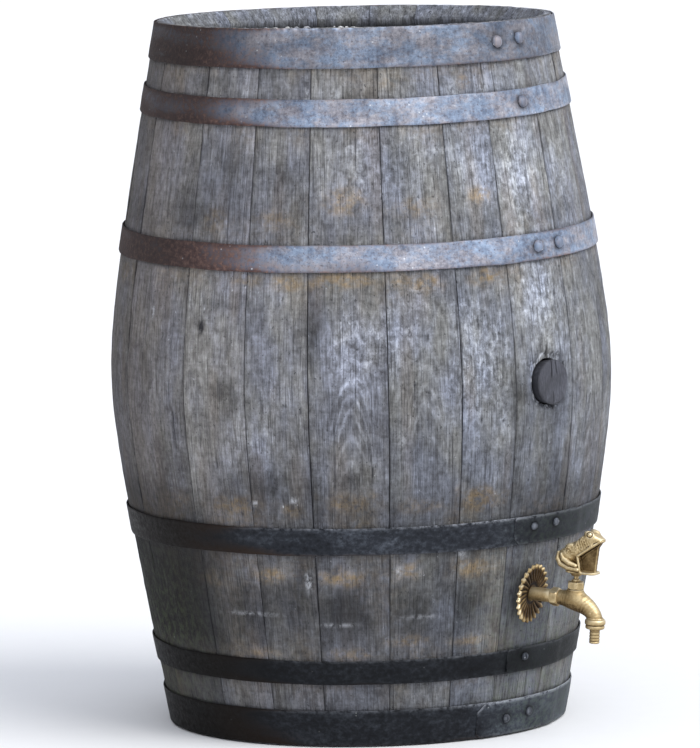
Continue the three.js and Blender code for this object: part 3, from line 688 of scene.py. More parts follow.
# White, from splashes of lime:
LIME = (
    (-14, 226, 0.9, 11, 0.9), (-26, 330, 0.8, 3, 0.9), (-16.5, 336, 1.0, 3, 0.9),
    (-13.0, 871, 0.5, 12, 0.9), (-5.5, 862, 1.6, 9, 0.7), (8.2, 238, 0.9, 8, 0.6),
    (24, 262, 1.2, 9, 0.5), (21, 788, 5.0, 3, 0.6), (1.0, 752, 1.2, 12, 0.4), (27, 860, 2.0, 14, 0.5),
    (37, 856, 2.2, 16, 0.5), (11, 560, 0.8, 9, 0.7), (-56, 573, 0.6, 8, 0.8), (9, 415, 1.0, 14, 0.4),
    (13, 610, 1.5, 6, 0.4), (-30, 180, 7.0, 1.6, 0.5), (-8, 168, 4.0, 1.6, 0.6),
    (14, 175, 4.0, 2.0, 0.4), (128, 700, 2.0, 20, 0.5), (205, 620, 2.0, 18, 0.5),
)
# Dark and sooty:
SOOT = (
    (-21, 360, 6, 24, 0.7), (-31, 352, 4, 24, 0.5), (-10.9, 555, 2.2, 45, 0.8),
    (-29.7, 467, 2.0, 22, 0.7), (-33, 476, 2.5, 14, 0.5), (-34, 590, 6, 6, 0.5), (-2, 362, 5, 10, 0.5),
    (-52, 372, 4, 40, 0.6), (-11, 348, 3, 24, 0.7), (-5, 188, 7, 30, 1.0), (27, 190, 4, 22, 1.0),
    (-30, 185, 7, 34, 0.9), (-18, 195, 4, 32, 0.9), (12, 188, 5, 34, 0.9), (-20, 760, 8, 16, 0.4),
    (8, 775, 5, 30, 0.6), (-48, 700, 5, 40, 0.6), (9, 850, 8, 14, 0.4), (-36, 740, 8, 75, 0.9),
    (-40, 880, 9, 8, 0.7), (36.5, 460, 1.6, 60, 0.7), (46, 452, 4, 9, 0.7), (50, 300, 8, 10, 0.6),
    (14, 400, 5, 34, 0.5), (130, 420, 8, 50, 0.6), (175, 700, 8, 40, 0.5), (225, 240, 8, 40, 0.6),
    (250, 470, 6, 60, 0.5), (185, 180, 8, 30, 0.6),
)

# Narrow splits and hollows in the wood: azimuth, low end, high end, half width, depth.
SPLITS = (
    (46.9, 508, 527, 0.8, 4.0), (33.2, 812, 826, 0.7, 1.6), (12.6, 690, 720, 0.6, 1.2),
    (-47.8, 392, 450, 0.9, 1.6), (-35.5, 372, 392, 0.8, 1.2), (51.5, 560, 600, 0.6, 1.0),
    (62.0, 470, 520, 0.8, 1.4), (-20.0, 700, 742, 0.5, 1.0), (2.0, 360, 400, 0.5, 1.0),
    (-17.4, 455, 468, 0.9, 1.2), (-13.8, 448, 462, 0.8, 1.0), (15.2, 540, 556, 0.9, 1.2),
    (43.6, 494, 512, 1.0, 2.0), (8.6, 500, 512, 1.0, 1.2), (27.8, 430, 442, 0.7, 1.0),
    (59.0, 520, 548, 0.7, 1.2), (150.0, 480, 560, 0.8, 1.8), (232.0, 300, 390, 0.8, 1.8),
    (196.0, 740, 800, 0.8, 1.6),
)

# Knots: azimuth, height, radius, depth of the hole.
KNOTS = (
    (-39.2, 560, 5.0, 3.5), (33.4, 433, 1.6, 1.5), (12.0, 487, 2.2, 1.0), (140.0, 620, 6.0, 2.0),
    (205.0, 380, 7.0, 1.5), (248.0, 560, 4.5, 2.5),
)


def stave_rows(spacing):
    """Heights of the rows of corners, with extra rows at the ends and at the croze."""
    fixed = [0, 0.6, 2, 6, CHIME_BEVEL]
    fixed += [CROZE_HEIGHT + up for up in (0, 1, CROZE_WIDTH - 1, CROZE_WIDTH)]
    fixed += [BARREL_HEIGHT - z for z in fixed]
    plain = np.arange(12, BARREL_HEIGHT - 11, spacing)
    rows = [z for z in plain if min(abs(z - f) for f in fixed) > 0.45 * spacing]
    return np.array(sorted(rows + fixed), float)


def inner_depth(heights):
    """How far the inner face lies in from the outer surface: bevelled ends and the croze groove."""
    from_end = np.minimum(heights, BARREL_HEIGHT - heights)
    bevel = CHIME_FLAT + (STAVE_THICKNESS - CHIME_FLAT) * np.clip(from_end / CHIME_BEVEL, 0, 1)
    in_croze = (from_end > CROZE_HEIGHT + 0.5) & (from_end < CROZE_HEIGHT + CROZE_WIDTH - 0.5)
    return bevel - CROZE_DEPTH * in_croze


def split_depth(azimuth, height, radius):
    """How deep the splits and knot holes go, and how dark they make the wood."""
    deep = np.zeros_like(azimuth)
    dark = np.zeros_like(azimuth)
    for at, low, high, half, depth in SPLITS:
        wander = 1.6 * noise(height / 17, at, seed=3)
        across = np.radians(azimuth - at) * radius + wander
        ends = plateau(height, low, low + 7, high - 7, high)
        deep += depth * (bump_at(across, 0, half) * ends)
        dark += bump_at(across, 0, 1.5 * half) * ends
    for at, middle, size, depth in KNOTS:
        across = np.radians(azimuth - at) * radius
        away = np.hypot(across, 0.62 * (height - middle)) / size
        away += 0.25 * noise(across / 3, height / 4, seed=8)
        deep += depth * np.exp(-(away ** 4))
        dark += 1.2 * np.exp(-(away ** 4))
    return deep, np.clip(dark, 0, 1)


def stave_surface(k, azimuth, height, start, width):
    """Radius of the worn outer face of stave k."""
    radius = outer_radius(height)
    across = np.radians(azimuth - start - width / 2) * radius
    to_joint = np.radians(width / 2) * radius - np.abs(across)
    share = across / (np.radians(width / 2) * radius)
    lift = -0.55 + 0.45 * noise(k * 1.7, 0.5, seed=1) + 0.35 * share * noise(k * 2.3, 4.5, seed=2)
    sway = 0.5 * noise(across / 60, height / 150, k, seed=4)
    ridges = 0.28 * noise(across / 3.2, height / 60, k, seed=5)
    ridges += 0.2 * noise(across / 7, height / 90, k, seed=6)
    uneven = 1 + noise(across / 40, height / 70, k, seed=11)
    rough = 0.45 * noise(across / 11, height / 17, k, seed=10) * uneven
    arris = 0.6 * np.exp(-to_joint / (1.0 + 0.3 * noise(height / 40, k, seed=7)))
    chips = 1.3 * np.exp(-to_joint / 3) * np.clip(noise(height / 9, k * 3.1, seed=9) - 0.35, 0, 1)
    deep, _ = split_depth(azimuth, height, radius)
    torn = bung_tear(azimuth, height) if k == BUNG_STAVE else 0
    return radius + lift + sway + ridges + rough - arris - chips - deep - torn


def bung_tear(azimuth, height):
    """Fibres torn out of the wood round the bung, most above and to the left of it."""
    radius = outer_radius(height)
    x = np.radians(azimuth - BUNG["azimuth"]) * radius
    y = height - BUNG["height"]
    away = np.hypot(x, y)
    turn = np.arctan2(y, x)
    reach = BUNG["radius"] + 2.5 + 8 * bump_at(turn, 2.0, 0.75) + 6 * bump_at(turn, 0.95, 0.3)
    reach += 5 * bump_at(turn, -2.5, 0.35)
    ragged = 3.0 * noise(x / 3.2, y / 7, seed=12) + 1.5 * noise(x / 1.6, y / 3, seed=13)
    return 3.4 * fade(away + ragged, reach - 1.5, reach + 1.5) + 0.6 * np.exp(-np.abs(away - 31) / 2)


def make_stave(k, start, width):
    """One stave from a worn outer face, an inner face and ends rounded by wear. The one with the bung
    and the staves seen in front get finer grids."""
    if k == BUNG_STAVE:
        step_across, step_along = 1.5, 2.6
    elif -95 < start < 95:
        step_across, step_along = 2.4, 4.2
    else:
        step_across, step_along = 4.0, 7.0
    columns = int(math.radians(width) * BILGE_RADIUS / step_across) + 4
    rows = stave_rows(step_along)
    share = np.linspace(0, 1, columns - 4)
    first = share[1] * np.array([0.25, 0.55])
    share = np.sort(np.concatenate([share, first, 1 - first]))
    azimuths = start + JOINT_GAP + share * (width - 2 * JOINT_GAP)
    across, up = np.meshgrid(azimuths, rows)
    wear = 1.1 * (0.5 + 0.5 * noise(k * 1.9, 7.5, seed=14)) + 0.3 * noise(across / 1.2, k, seed=15)
    broken = np.exp(-(((wrapped(across) + 13) / 13) ** 4))
    broken = ramp(noise(across / 0.7, 8.5, seed=17), 0.05, 0.4) * broken
    wear -= 2.6 * broken
    from_end = np.minimum(up, BARREL_HEIGHT - up)
    heights = np.where(up > BARREL_HEIGHT / 2, up - wear * fade(from_end, 0, 12), up)
    outside = stave_surface(k, across, up, start, width)
    outside -= 1.6 * np.exp(-from_end / 1.2)
    inside = outer_radius(up) - inner_depth(up) + 0.35 * noise(across * 1.3, up / 50, k, seed=16)
    outer = on_barrel(across, outside, heights)
    inner = on_barrel(across, inside, heights)[:, ::-1]
    loops = np.concatenate([outer, inner], axis=1)
    count = loops.shape[1]
    faces = tube_faces(len(rows), count)
    last = (len(rows) - 1) * count
    for i in range(columns - 1):
        faces.append([i + 1, i, count - 1 - i, count - 2 - i])
        faces.append([last + i, last + i + 1, last + count - 2 - i, last + count - 1 - i])
    return make_piece(f"stave_{k + 1:02d}", (loops, faces), "weathered_oak")


def cut_bung_stave(piece):
    """The tapered bung hole and the round hole of the tap's pipe."""
    def ragged(turn, radius, height):
        torn = 1.0 + 0.5 * noise(turn * 5, 0.5, seed=17)
        torn += 0.9 * bump_at(turn, 2.2, 0.6)
        return radius + torn * (0.2 if height < -2 else 1)

    bung_hole = turned([(26.5, -40), (30.4, -2), (30.9, 0.5), (33.5, 9)], 96, ragged)
    subtract(piece, bung_hole, surface_frame(BUNG["azimuth"], BUNG["height"]))
    subtract(piece, turned([(10.2, -75), (10.2, 20)], 48), lying(tap))


def hoop_edges(hoop, azimuth):
    """Heights of the lower and upper edge of a hoop, which hangs a little lower in front."""
    facing = np.cos(np.radians(azimuth))
    return hoop["low"] - hoop["drop"][0] * facing, hoop["high"] - hoop["drop"][1] * facing


def stains_at(azimuth, height, k):
    """Ochre rust run-off in patches above and below the hoops, strongest near them. Each run is: which
    hoop, above or below it, how far it reaches, strength."""
    total = np.zeros_like(azimuth)
    runs = ((2, -1, 34, 0.35), (3, 1, 38, 0.45), (3, -1, 110, 0.25), (4, 1, 34, 0.3), (1, -1, 26, 0.3),
            (2, 1, 60, 0.15), (4, -1, 30, 0.2), (0, -1, 30, 0.3))
    for which, side, length, strength in runs:
        low, high = hoop_edges(HOOPS[which], azimuth)
        away = side * (height - (high if side > 0 else low))
        reach = length * (0.75 + 0.45 * noise(azimuth / 4.5, which * 2.7 + side, seed=21))
        local = 0.5 + 0.5 * noise(azimuth / 7.5, which * 3.3 + side, k * 0.8, seed=22)
        spent = np.exp(-(np.clip(away, 0, None) / reach) ** 2) * (away > -3)
        total += strength * ramp(local, 0.25, 0.7) * spent
    return np.clip(total, 0, 1)


def shadow_line(azimuth, height):
    """Painted shade with grime just under and over each hoop."""
    total = np.zeros_like(azimuth)
    for hoop in HOOPS:
        low, high = hoop_edges(hoop, azimuth)
        under = np.clip(low - height, 0, None)
        over = np.clip(height - high, 0, None)
        reach = 2.2 + 1.6 * noise(azimuth / 6, hoop["low"], seed=23)
        total += 0.55 * np.exp(-under / reach) * (height < low + 1)
        total += 0.35 * np.exp(-over / 1.8) * (height > high - 1)
    return np.clip(total, 0, 1)


def look_of(k):
    """The stave's own row of looks, or the common one behind."""
    return STAVE_LOOKS[k] if k < len(STAVE_LOOKS) else COMMON_LOOK


def stave_tone_and_light(k, azimuth, height):
    """How light the wood is: darker near the ground, where it is damp and has painted shade, painted shade on
    the left, and palest up on the right with painted light.
    """
    lightness, *_ = look_of(k)
    # Darker low down: damp wood with painted shade.
    tone_and_painted_light = lightness * (0.54 + 0.46 * ramp(height, 270, 420))
    tone_and_painted_light *= 1 + 0.26 * fade(height, 80, 135)
    # Painted shade on the left, deepest low down, and more still further round.
    left = plateau(-azimuth, 24, 50, 130, 170)
    low = fade(height, 230, 380) * ramp(height, 105, 150)
    low += 0.45 * fade(height, 105, 150)
    tone_and_painted_light *= 1 - left * (0.10 + 0.78 * low)
    tone_and_painted_light *= 1 - 0.22 * plateau(-azimuth, 50, 75, 110, 150)
    # Painted light on the front and right: lighter up high, and low down on the right.
    bright = fade(-azimuth, 11, 14) * fade(azimuth, 120, 170)
    tone_and_painted_light *= 1 + 0.22 * ramp(height, 650, 720) * bright
    tone_and_painted_light *= 1 + 0.50 * ramp(azimuth, 26, 40) * bright * fade(height, 270, 290)
    if k == BUNG_STAVE:
        tone_and_painted_light *= 0.66 + 0.34 * ramp(height, 470, 545) - 0.08 * ramp(height, 650, 720)
    tone_and_painted_light *= 1 + 0.10 * noise(azimuth / 6, height / 85, k, seed=24)
    band = 1 - 0.20 * bump_at(height, 325, 22) - 0.14 * bump_at(height, 705, 20)
    return tone_and_painted_light * band


def patches_at(patches, azimuth, height):
    """How strongly a set of patches shows at each place, with ragged outlines."""
    total = np.zeros_like(azimuth)
    ragged = 1 + 0.55 * noise(azimuth / 2.2, height / 9, seed=35)
    for at, middle, wide, tall, strength in patches:
        away = ((wrapped(azimuth - at) / wide) ** 2 + ((height - middle) / tall) ** 2) * ragged
        total += strength * np.exp(-away ** 1.4)
    return np.clip(total, 0, 1)


def paint_stave(piece, k, start, width):
    """Gives the stave its grain and wear, worked out from where each corner lies."""
    points = corner_points(piece)
    azimuth = np.degrees(np.arctan2(points[:, 0], -points[:, 1]))
    azimuth = start + (azimuth - start + 60) % 360 - 60
    height = points[:, 2]
    radius = outer_radius(height)
    depth = radius - np.hypot(points[:, 0], points[:, 1])
    across = np.radians(azimuth - start - width / 2) * radius
    to_joint = np.radians(width / 2) * radius - np.abs(across)
    outer = fade(depth, 4, 7)
    within = depth > CHIME_FLAT - 2
    bilge = BARREL_HEIGHT / 2
    lean = 6 * noise(k * 1.3, 2.5, seed=25) * (height - bilge) / bilge
    apart = np.array([0.61, 1.37, 0.29]) * k
    paint(piece, "grain", np.stack([across + lean, height, depth], -1) / 1000 + apart)

    _, brown, ringed, arch = look_of(k)
    centre = 10 * noise(height / 260, k * 1.1, seed=26)
    climb = height - arch
    bend = ((across - centre) / 17) ** 2
    rings = bend + 0.034 * climb + 0.5 * noise(across / 22, height / 50, k, seed=29)
    paint(piece, "ring", rings)
    near = np.exp(-(((across - centre) / 26) ** 4)) * bump_at(climb, 0, 95)
    more = 0.35 * bump_at(across, centre, 34) * ramp(noise(height / 120, k * 2.1, seed=30), 0, 0.5)
    paint(piece, "figure", ringed * np.maximum(near, more) * outer)
    silver = patches_at(SILVER, azimuth, height)
    if k == BUNG_STAVE:
        silver = np.maximum(silver, ramp(bung_tear(azimuth, height), 0.4, 1.6))
    # The bevel at the top inside is painted silvery: weathered wood with painted light from the sky.
    bevelled = within & (height > BARREL_HEIGHT - CHIME_BEVEL - 1)
    paint(piece, "silver", np.where(bevelled, 0.55, silver * outer))
    lime = 0.8 * patches_at(LIME, azimuth, height)
    if k == BUNG_STAVE:
        splinters = ramp(noise(azimuth * 2.3, height / 3.5, seed=37), 0.05, 0.4)
        lime = np.maximum(lime, splinters * ramp(bung_tear(azimuth, height), 0.5, 2.0))
    paint(piece, "lime", lime * outer)

    _, dark = split_depth(azimuth, height, radius)
    side = np.where(across > 0, k + 1, k)
    open_joint = 0.34 + 0.14 * (side > 2.5) + 0.34 * noise(height / 130, side * 1.7, seed=34)
    joint = open_joint * np.exp(-(np.clip(to_joint, 0, None) / 1.3) ** 1.3)
    smear = ramp(noise(height / 55, k * 4.1, np.sign(across), seed=31), -0.3, 0.6)
    smear = 0.18 * np.exp(-to_joint / 9) * smear
    # Dark joints and splits, painted shade with grime at the hoops, and smears along the joints.
    dirt_and_shade = np.maximum.reduce([joint, 0.9 * dark, shadow_line(azimuth, height)]) + smear
    if k == BUNG_STAVE:
        # A ring of painted shade round the bung, wider below it, and darker in the torn fibres.
        ring_gap = np.hypot(np.radians(azimuth - BUNG["azimuth"]) * radius, height - BUNG["height"])
        below = 1 + 1.6 * (height < BUNG["height"] - 10)
        dirt_and_shade += 0.75 * np.exp(-((np.clip(ring_gap - 28, 0, None) / (3.2 * below)) ** 2))
        ragged = ramp(noise(azimuth * 2, height / 6, seed=32), 0, 0.5)
        dirt_and_shade += 0.4 * ramp(bung_tear(azimuth, height), 0.6, 2.4) * ragged
    dirt_and_shade = np.where(within, 0.20, dirt_and_shade)
    paint(piece, "dirt_and_shade", np.clip(dirt_and_shade, 0, 1))

    ochre = patches_at(OCHRE, azimuth, height)
    paint(piece, "stain", np.maximum(stains_at(azimuth, height, k), ochre) * outer)
    turn = wrapped(azimuth)
    left = 0.35 * plateau(-turn, 40, 72, 120, 160)
    bare = brown + left + 0.25 * ramp(noise(azimuth / 5, height / 120, seed=33), 0.3, 0.8)
    inside = 0.5 * fade(height, 820, 945)
    paint(piece, "bare", np.clip(np.where(within, inside, bare), 0, 1))
    tone_and_painted_light = stave_tone_and_light(k, turn, height) * (1 - 0.55 * patches_at(SOOT, azimuth, height) * outer)
    tone_and_painted_light *= 1 + 0.7 * ochre * fade(height, 250, 330)
    # Inside: a darker band down the wall, and the bevel at the top painted lighter with painted light from
    # the sky.
    inner_tone = 0.60 - 0.32 * bump_at(height, 912, 26) + 0.50 * ramp(height, 929, 933)
    tone_and_painted_light = np.where(within, inner_tone, tone_and_painted_light)
    crumbs = ramp(noise(azimuth / 0.7, radius / 5 - depth / 3, seed=36), 0.05, 0.5)
    tone_and_painted_light = np.where(height > BARREL_HEIGHT - 1.5, 0.8 + 1.2 * crumbs, tone_and_painted_light)
    tone_and_painted_light = np.where(height > BARREL_HEIGHT + 0.2, 3.0, tone_and_painted_light)
    paint(piece, "tone_and_painted_light", tone_and_painted_light)
    damp = fade(height, 110, 330) * ramp(np.abs(turn + 8), 26, 55)
    damp *= fade(np.abs(turn), 95, 130)
    paint(piece, "moss", 0.5 * damp * outer)


def make_staves():
    """All staves, one after another round the barrel."""
    start = FIRST_JOINT
    for k, width in enumerate(STAVE_WIDTHS):
        piece = make_stave(k, start, width)
        if k == BUNG_STAVE:
            cut_bung_stave(piece)
        paint_stave(piece, k, start, width)
        start += width


make_staves()

# ---------------------------------------------------------------- bottom head


def make_head():
    """Boards edge to edge, a little uneven, bevelled round the rim to enter the croze."""
    middle = CROZE_HEIGHT + CROZE_WIDTH / 2
    rim = outer_radius(middle) - STAVE_THICKNESS + CROZE_DEPTH - 1
    rim_half = CROZE_WIDTH / 2 - 1.9
    board = 2 * rim / HEAD_BOARDS
    rows, columns = 34, 90
    for k in range(HEAD_BOARDS):
        low_y = -rim + k * board + HEAD_GAP / 2
        y = low_y + np.linspace(0, 1, rows) * (board - HEAD_GAP)
        side = np.linspace(-1, 1, columns)
        half = np.sqrt(np.clip(rim ** 2 - y ** 2, 1, None))
        ys, xs = np.meshgrid(y, side, indexing="ij")
        xs = xs * half[:, None]
        inward = rim - np.hypot(xs, ys)
        thick = rim_half + (HEAD_THICKNESS / 2 - rim_half) * np.clip(inward / HEAD_BEVEL, 0, 1)
        edge = np.minimum(ys - y[0], y[-1] - ys)
        arris = 1.4 * np.exp(-edge / 1.3)
        swell = 0.5 * noise(xs / 90, ys / 30, k, seed=41) + 0.3 * noise(k * 2.2, 1.5, seed=42)
        upper = np.stack([xs, ys, middle + thick - arris + np.clip(swell, -0.5, 0.5) - 0.5], -1)
        lower = np.stack([xs, ys, middle - thick + arris], -1)
        count = rows * columns
        top_faces = np.array(tube_faces(rows, columns, closed=False))
        faces = top_faces[:, ::-1].tolist() + (top_faces + count).tolist()
        border = grid_border(rows, columns)
        faces += skirt(border, [corner + count for corner in border])
        points = np.concatenate([upper.reshape(-1, 3), lower.reshape(-1, 3)])
        make_piece(f"head_board_{k + 1}", (points, faces), "head_oak", sharp=40)


make_head()

# ---------------------------------------------------------------- hoops and rivets


def hoop_azimuths(hoop):
    """Azimuths along the strip, in order, how far each is lifted where the strip lies on its own other
    end, and how many degrees each is from the strip's outer and inner end."""
    forward = hoop["outer_end"] > hoop["inner_end"]
    start = hoop["inner_end"] if forward else hoop["outer_end"]
    end = (hoop["outer_end"] if forward else hoop["inner_end"]) + 360
    azimuths = np.linspace(start, end, 380)
    close = np.linspace(0, 4, 24)[1:]
    azimuths = np.unique(np.concatenate([azimuths, start + close, end - close]))
    jog = hoop["inner_end"] + (355 if forward else 1)
    rise = ramp(azimuths, jog, jog + 4)
    layer = (HOOP_THICKNESS + TOUCH_GAP) * (rise if forward else 1 - rise)
    from_outer = (end - azimuths) if forward else (azimuths - start)
    from_inner = (azimuths - start) if forward else (end - azimuths)
    return azimuths, layer, from_outer, from_inner


def make_hoop(number, hoop):
    """A strip bent round the barrel, a little hammered, its ends lapped and its outer corners cut."""
    azimuths, layer, from_outer, from_inner = hoop_azimuths(hoop)
    low, high = hoop_edges(hoop, azimuths)
    along = np.radians(azimuths) * outer_radius(hoop["low"])
    to_end = np.radians(from_outer) * outer_radius(hoop["low"])
    low_cut, high_cut = (np.clip(size - to_end, 0, None) for size in hoop["clip"])
    low = low + low_cut + 0.55 * noise(azimuths / 9, number, seed=51)
    low += 0.2 * noise(azimuths / 1.7, number, seed=52)
    high = high - high_cut + 0.55 * noise(azimuths / 10, number, seed=53)
    high += 0.2 * noise(azimuths / 1.9, number, seed=54)
    if number == 0:
        high = np.minimum(high, BARREL_HEIGHT - 0.4)
    low = np.maximum(low, 1.0)
    half = HOOP_THICKNESS / 2
    # The section runs up the outside and down the inside: share of the way up, and distance out.
    section = [(0.0, half)]
    section += [(0.0, half + 0.45), (0.006, half * 2 - 0.35), (0.02, half * 2)]
    section += [(share, half * 2) for share in (0.1, 0.22, 0.35, 0.5, 0.65, 0.78, 0.9)]
    section += [(0.98, half * 2), (0.994, half * 2 - 0.35), (1.0, half + 0.45), (1.0, half), (0.99, 0.2)]
    section += [(0.8, 0.0), (0.5, 0.0), (0.2, 0.0), (0.01, 0.2)]
    share = np.array([s for s, _ in section])
    out = np.array([o for _, o in section])
    az = np.repeat(azimuths[:, None], len(section), 1)
    heights = low[:, None] + share * (high - low)[:, None]
    straight = outer_radius(low)[:, None] * (1 - share) + outer_radius(high)[:, None] * share
    dents = 0.35 * noise(az / 5, heights / 16, number, seed=55)
    dents += 0.12 * noise(az / 1.6, heights / 5, number, seed=56)
    hammered = np.where(out[None, :] > half, dents, 0.5 * dents)
    radius = straight + HOOP_CLEARANCE + layer[:, None] + out + np.clip(hammered, -0.3, 0.6)
    loops = on_barrel(az, radius, heights)
    faces = [face[::-1] for face in capped_tube(len(azimuths), len(section))]
    piece = make_piece(hoop["name"], (loops, faces), hoop["steel"], sharp=45)
    up = np.broadcast_to(share, az.shape)
    paint_hoop(piece, number, az, heights, up, along, from_inner, high - low)


def paint_hoop(piece, number, az, heights, up, along, from_inner, tall):
    """Wear along the strip: worn edges with a painted highlight, rust at the left and behind, painted
    shade with dirt round the rivets, damp, and painted shade on the left with painted light at the right.
    """
    hoop = HOOPS[number]
    zinc = hoop["steel"] == "galvanised_steel"
    turn = wrapped(az)
    strip = np.stack([np.repeat(along[:, None], az.shape[1], 1), heights, 0 * az], -1) / 1000
    paint(piece, "strip", (strip + np.array([0.7, 1.3, 0]) * number).reshape(-1, 3))
    to_edge = np.minimum(up, 1 - up) * tall[:, None]
    # Lighter edges: wear, with a painted highlight strongest along the top edge and on the right.
    edge = np.exp(-to_edge / 1.3) * (0.25 + 0.75 * (up > 0.5)) * (0.45 + 0.55 * ramp(turn, 0, 40))
    paint(piece, "edge", edge.ravel())
    left = ramp(-turn, 6, 50) * (1 - 0.45 * ramp(-turn, 110, 150))
    far = ramp(np.abs(turn), 100, 130) * 0.55
    rust = 0.88 * np.maximum(left, far) + 0.50 * np.exp(-to_edge / 3.0)
    rust += 0.22 * noise(turn / 14, heights / 14, number, seed=57)
    rust = rust + hoop["rust"] - 0.2 * ramp(up, 0.2, 0.8)
    paint(piece, "rust", np.clip(rust, 0, 1).ravel())
    dirt_and_shade = 0.35 * np.exp(-((1 - up) * tall[:, None]) / 0.8) * (number != 0)
    dirt_and_shade += 0.3 * np.exp(-np.abs(from_inner[:, None]) / 0.5)
    # A ring of painted shade round each rivet, with grime further out.
    for at, level in hoop["rivets"]:
        away = np.hypot(np.radians(turn - at) * outer_radius(level), heights - level) - hoop["head"]
        dirt_and_shade = dirt_and_shade + 0.8 * np.exp(-np.clip(away, 0, None) / 2.0) + 0.25 * np.exp(-np.clip(away, 0, None) / 7)
    paint(piece, "dirt_and_shade", np.clip(dirt_and_shade, 0, 1).ravel())
    tone_and_painted_light = 1 + 0.15 * noise(turn / 11, heights / 20, number, seed=58)
    tone_and_painted_light *= hoop["tone_and_painted_light"]
    # Painted shade on the left, and painted light at the right by the hoop's own amount, darker where that is
    # below zero.
    tone_and_painted_light *= 1 - (0.68 if zinc else 0.88) * plateau(-turn, 14, 58, 115, 165)
    tone_and_painted_light *= 1 + hoop["right"] * plateau(turn, 26, 46, 115, 165)
    if number == 0:
        grit = 0.25 + 0.75 * np.exp(-(((turn + 12) / 14) ** 4))
        grit = ramp(noise(turn / 0.7, 1.5, seed=59), 0.0, 0.35) * grit
        grit *= np.exp(-((1 - up) * tall[:, None]) / 0.9)
        tone_and_painted_light *= 1 + 3.0 * grit
    paint(piece, "tone_and_painted_light", tone_and_painted_light.ravel())
    moss = plateau(turn, 30, 50, 80, 110) * (not zinc)
    paint(piece, "moss", (0.6 * moss).ravel())


def make_rivet(number, letter, hoop, azimuth, height):
    """A hammered dome on a shank through both layers."""
    underside = HOOP_CLEARANCE + 2 * HOOP_THICKNESS + 2 * TOUCH_GAP - 0.1
    head = hoop["head"]
    stations = [(RIVET_SHANK, 0.4), (RIVET_SHANK, underside)]
    for degrees in (0, 6, 14, 24, 36, 48, 60, 72, 82, 88):
        t = math.radians(degrees)
        stations.append((head * math.cos(t), underside + 0.80 * head * math.sin(t)))

    def hammered(turn, radius, height_up):
        if radius == RIVET_SHANK:
            return radius
        facets = noise(3 * np.cos(turn) + number, 3 * np.sin(turn) + azimuth, height_up / 2.5, seed=61)
        return radius * (1 + 0.07 * facets)

    placed = surface_frame(azimuth, height)
    shape = turned(stations, 40, hammered)
    piece = make_piece(f"rivet_{number + 1}{letter}", shape, hoop["steel"], placed=placed, sharp=60)
    points = corner_points(piece)
    paint(piece, "strip", points / 1000)
    away = np.linalg.norm(points - placed[:3, 3], axis=1)
    zinc = hoop["steel"] == "galvanised_steel"
    paint(piece, "rust", 0.42 if zinc else 0.1)
    # A painted highlight up on the dome, and painted shade round its foot.
    paint(piece, "edge", 0.22 * ramp(away, underside + 0.4 * head, underside + 0.8 * head))
    paint(piece, "dirt_and_shade", 0.6 * fade(away, 5, 5 + 0.45 * head))
    paint(piece, "tone_and_painted_light", 0.95 if zinc else 1.1)
    paint(piece, "moss", 0)


for number, hoop in enumerate(HOOPS):
    make_hoop(number, hoop)
    for letter, (azimuth, height) in zip("ab", hoop["rivets"]):
        make_rivet(number, letter, hoop, azimuth, height)

# ---------------------------------------------------------------- bung


def make_bung():
    """A tapered plug whose face is rounded off and split in three places, from a square grid bent
    round, and rings of corners down its side."""
    cells = 76
    side = np.linspace(-1, 1, cells)
    u, v = np.meshgrid(side, side)
    x = u * np.sqrt(1 - v ** 2 / 2)
    y = v * np.sqrt(1 - u ** 2 / 2)
    reach = np.hypot(x, y)
    radius = BUNG["radius"] - 0.8
    away = 1 - reach
    face = BUNG["proud"] - 2.2 * np.exp(-away * radius / 1.6) - 0.5 * (1 - away)
    px, py = radius * x, radius * y
    face = face + 0.25 * noise(px / 5, py / 9, seed=71) + 0.12 * noise(px / 1.6, py / 5, seed=72)
    dark = np.zeros_like(px)
    # Each split: place across, lean, low and high end, half width, depth.
    splits = ((-5, 0.05, 2, 31, 0.75, 3.2), (7, -0.1, 6, 26, 0.5, 1.6), (-1, 0.0, -31, -14, 0.5, 1.2))
    for at, lean, low, high, half, depth in splits:
        line = px - at - lean * py + 0.9 * noise(py / 8, at, seed=73)
        ends = plateau(py, low, low + 8, high + 1, high + 3)
        face -= depth * bump_at(line, 0, half) * ends
        dark += bump_at(line, 0, 1.4 * half) * ends
    top = np.stack([px, py, face], -1).reshape(-1, 3)
    faces = tube_faces(cells, cells, closed=False)
    border = grid_border(cells, cells)
    rings = [top]
    ring = border
    total = len(top)
    for height, shrink in ((1, 0.6), (-8, 1.6), (-BUNG["depth"], BUNG["taper"])):
        below = top[border].copy()
        length = np.hypot(below[:, 0], below[:, 1])
        below[:, :2] *= ((radius - shrink) / length)[:, None]
        below[:, 2] = height
        rings.append(below)
        lower = list(range(total, total + len(border)))
        faces += skirt(ring, lower)
        ring = lower
        total += len(border)
    faces.append(ring[::-1])
    points = np.concatenate(rings)
    placed = surface_frame(BUNG["azimuth"], BUNG["height"])
    piece = make_piece("bung", (points, faces), "bung_wood", "bung", placed)
    paint(piece, "grain", points / 1000)
    # Darker round the rim of the face and down the sides: painted shade where the bung meets its hole.
    edge = 0.75 * ramp(np.hypot(points[:, 0], points[:, 1]), radius - 2.5, radius)
    dark = np.concatenate([dark.ravel(), np.full(total - len(top), 0.5)])
    paint(piece, "dirt_and_shade", np.clip(np.maximum(dark, edge * 0.6), 0, 1))


make_bung()

# ---------------------------------------------------------------- shapes from distance fields


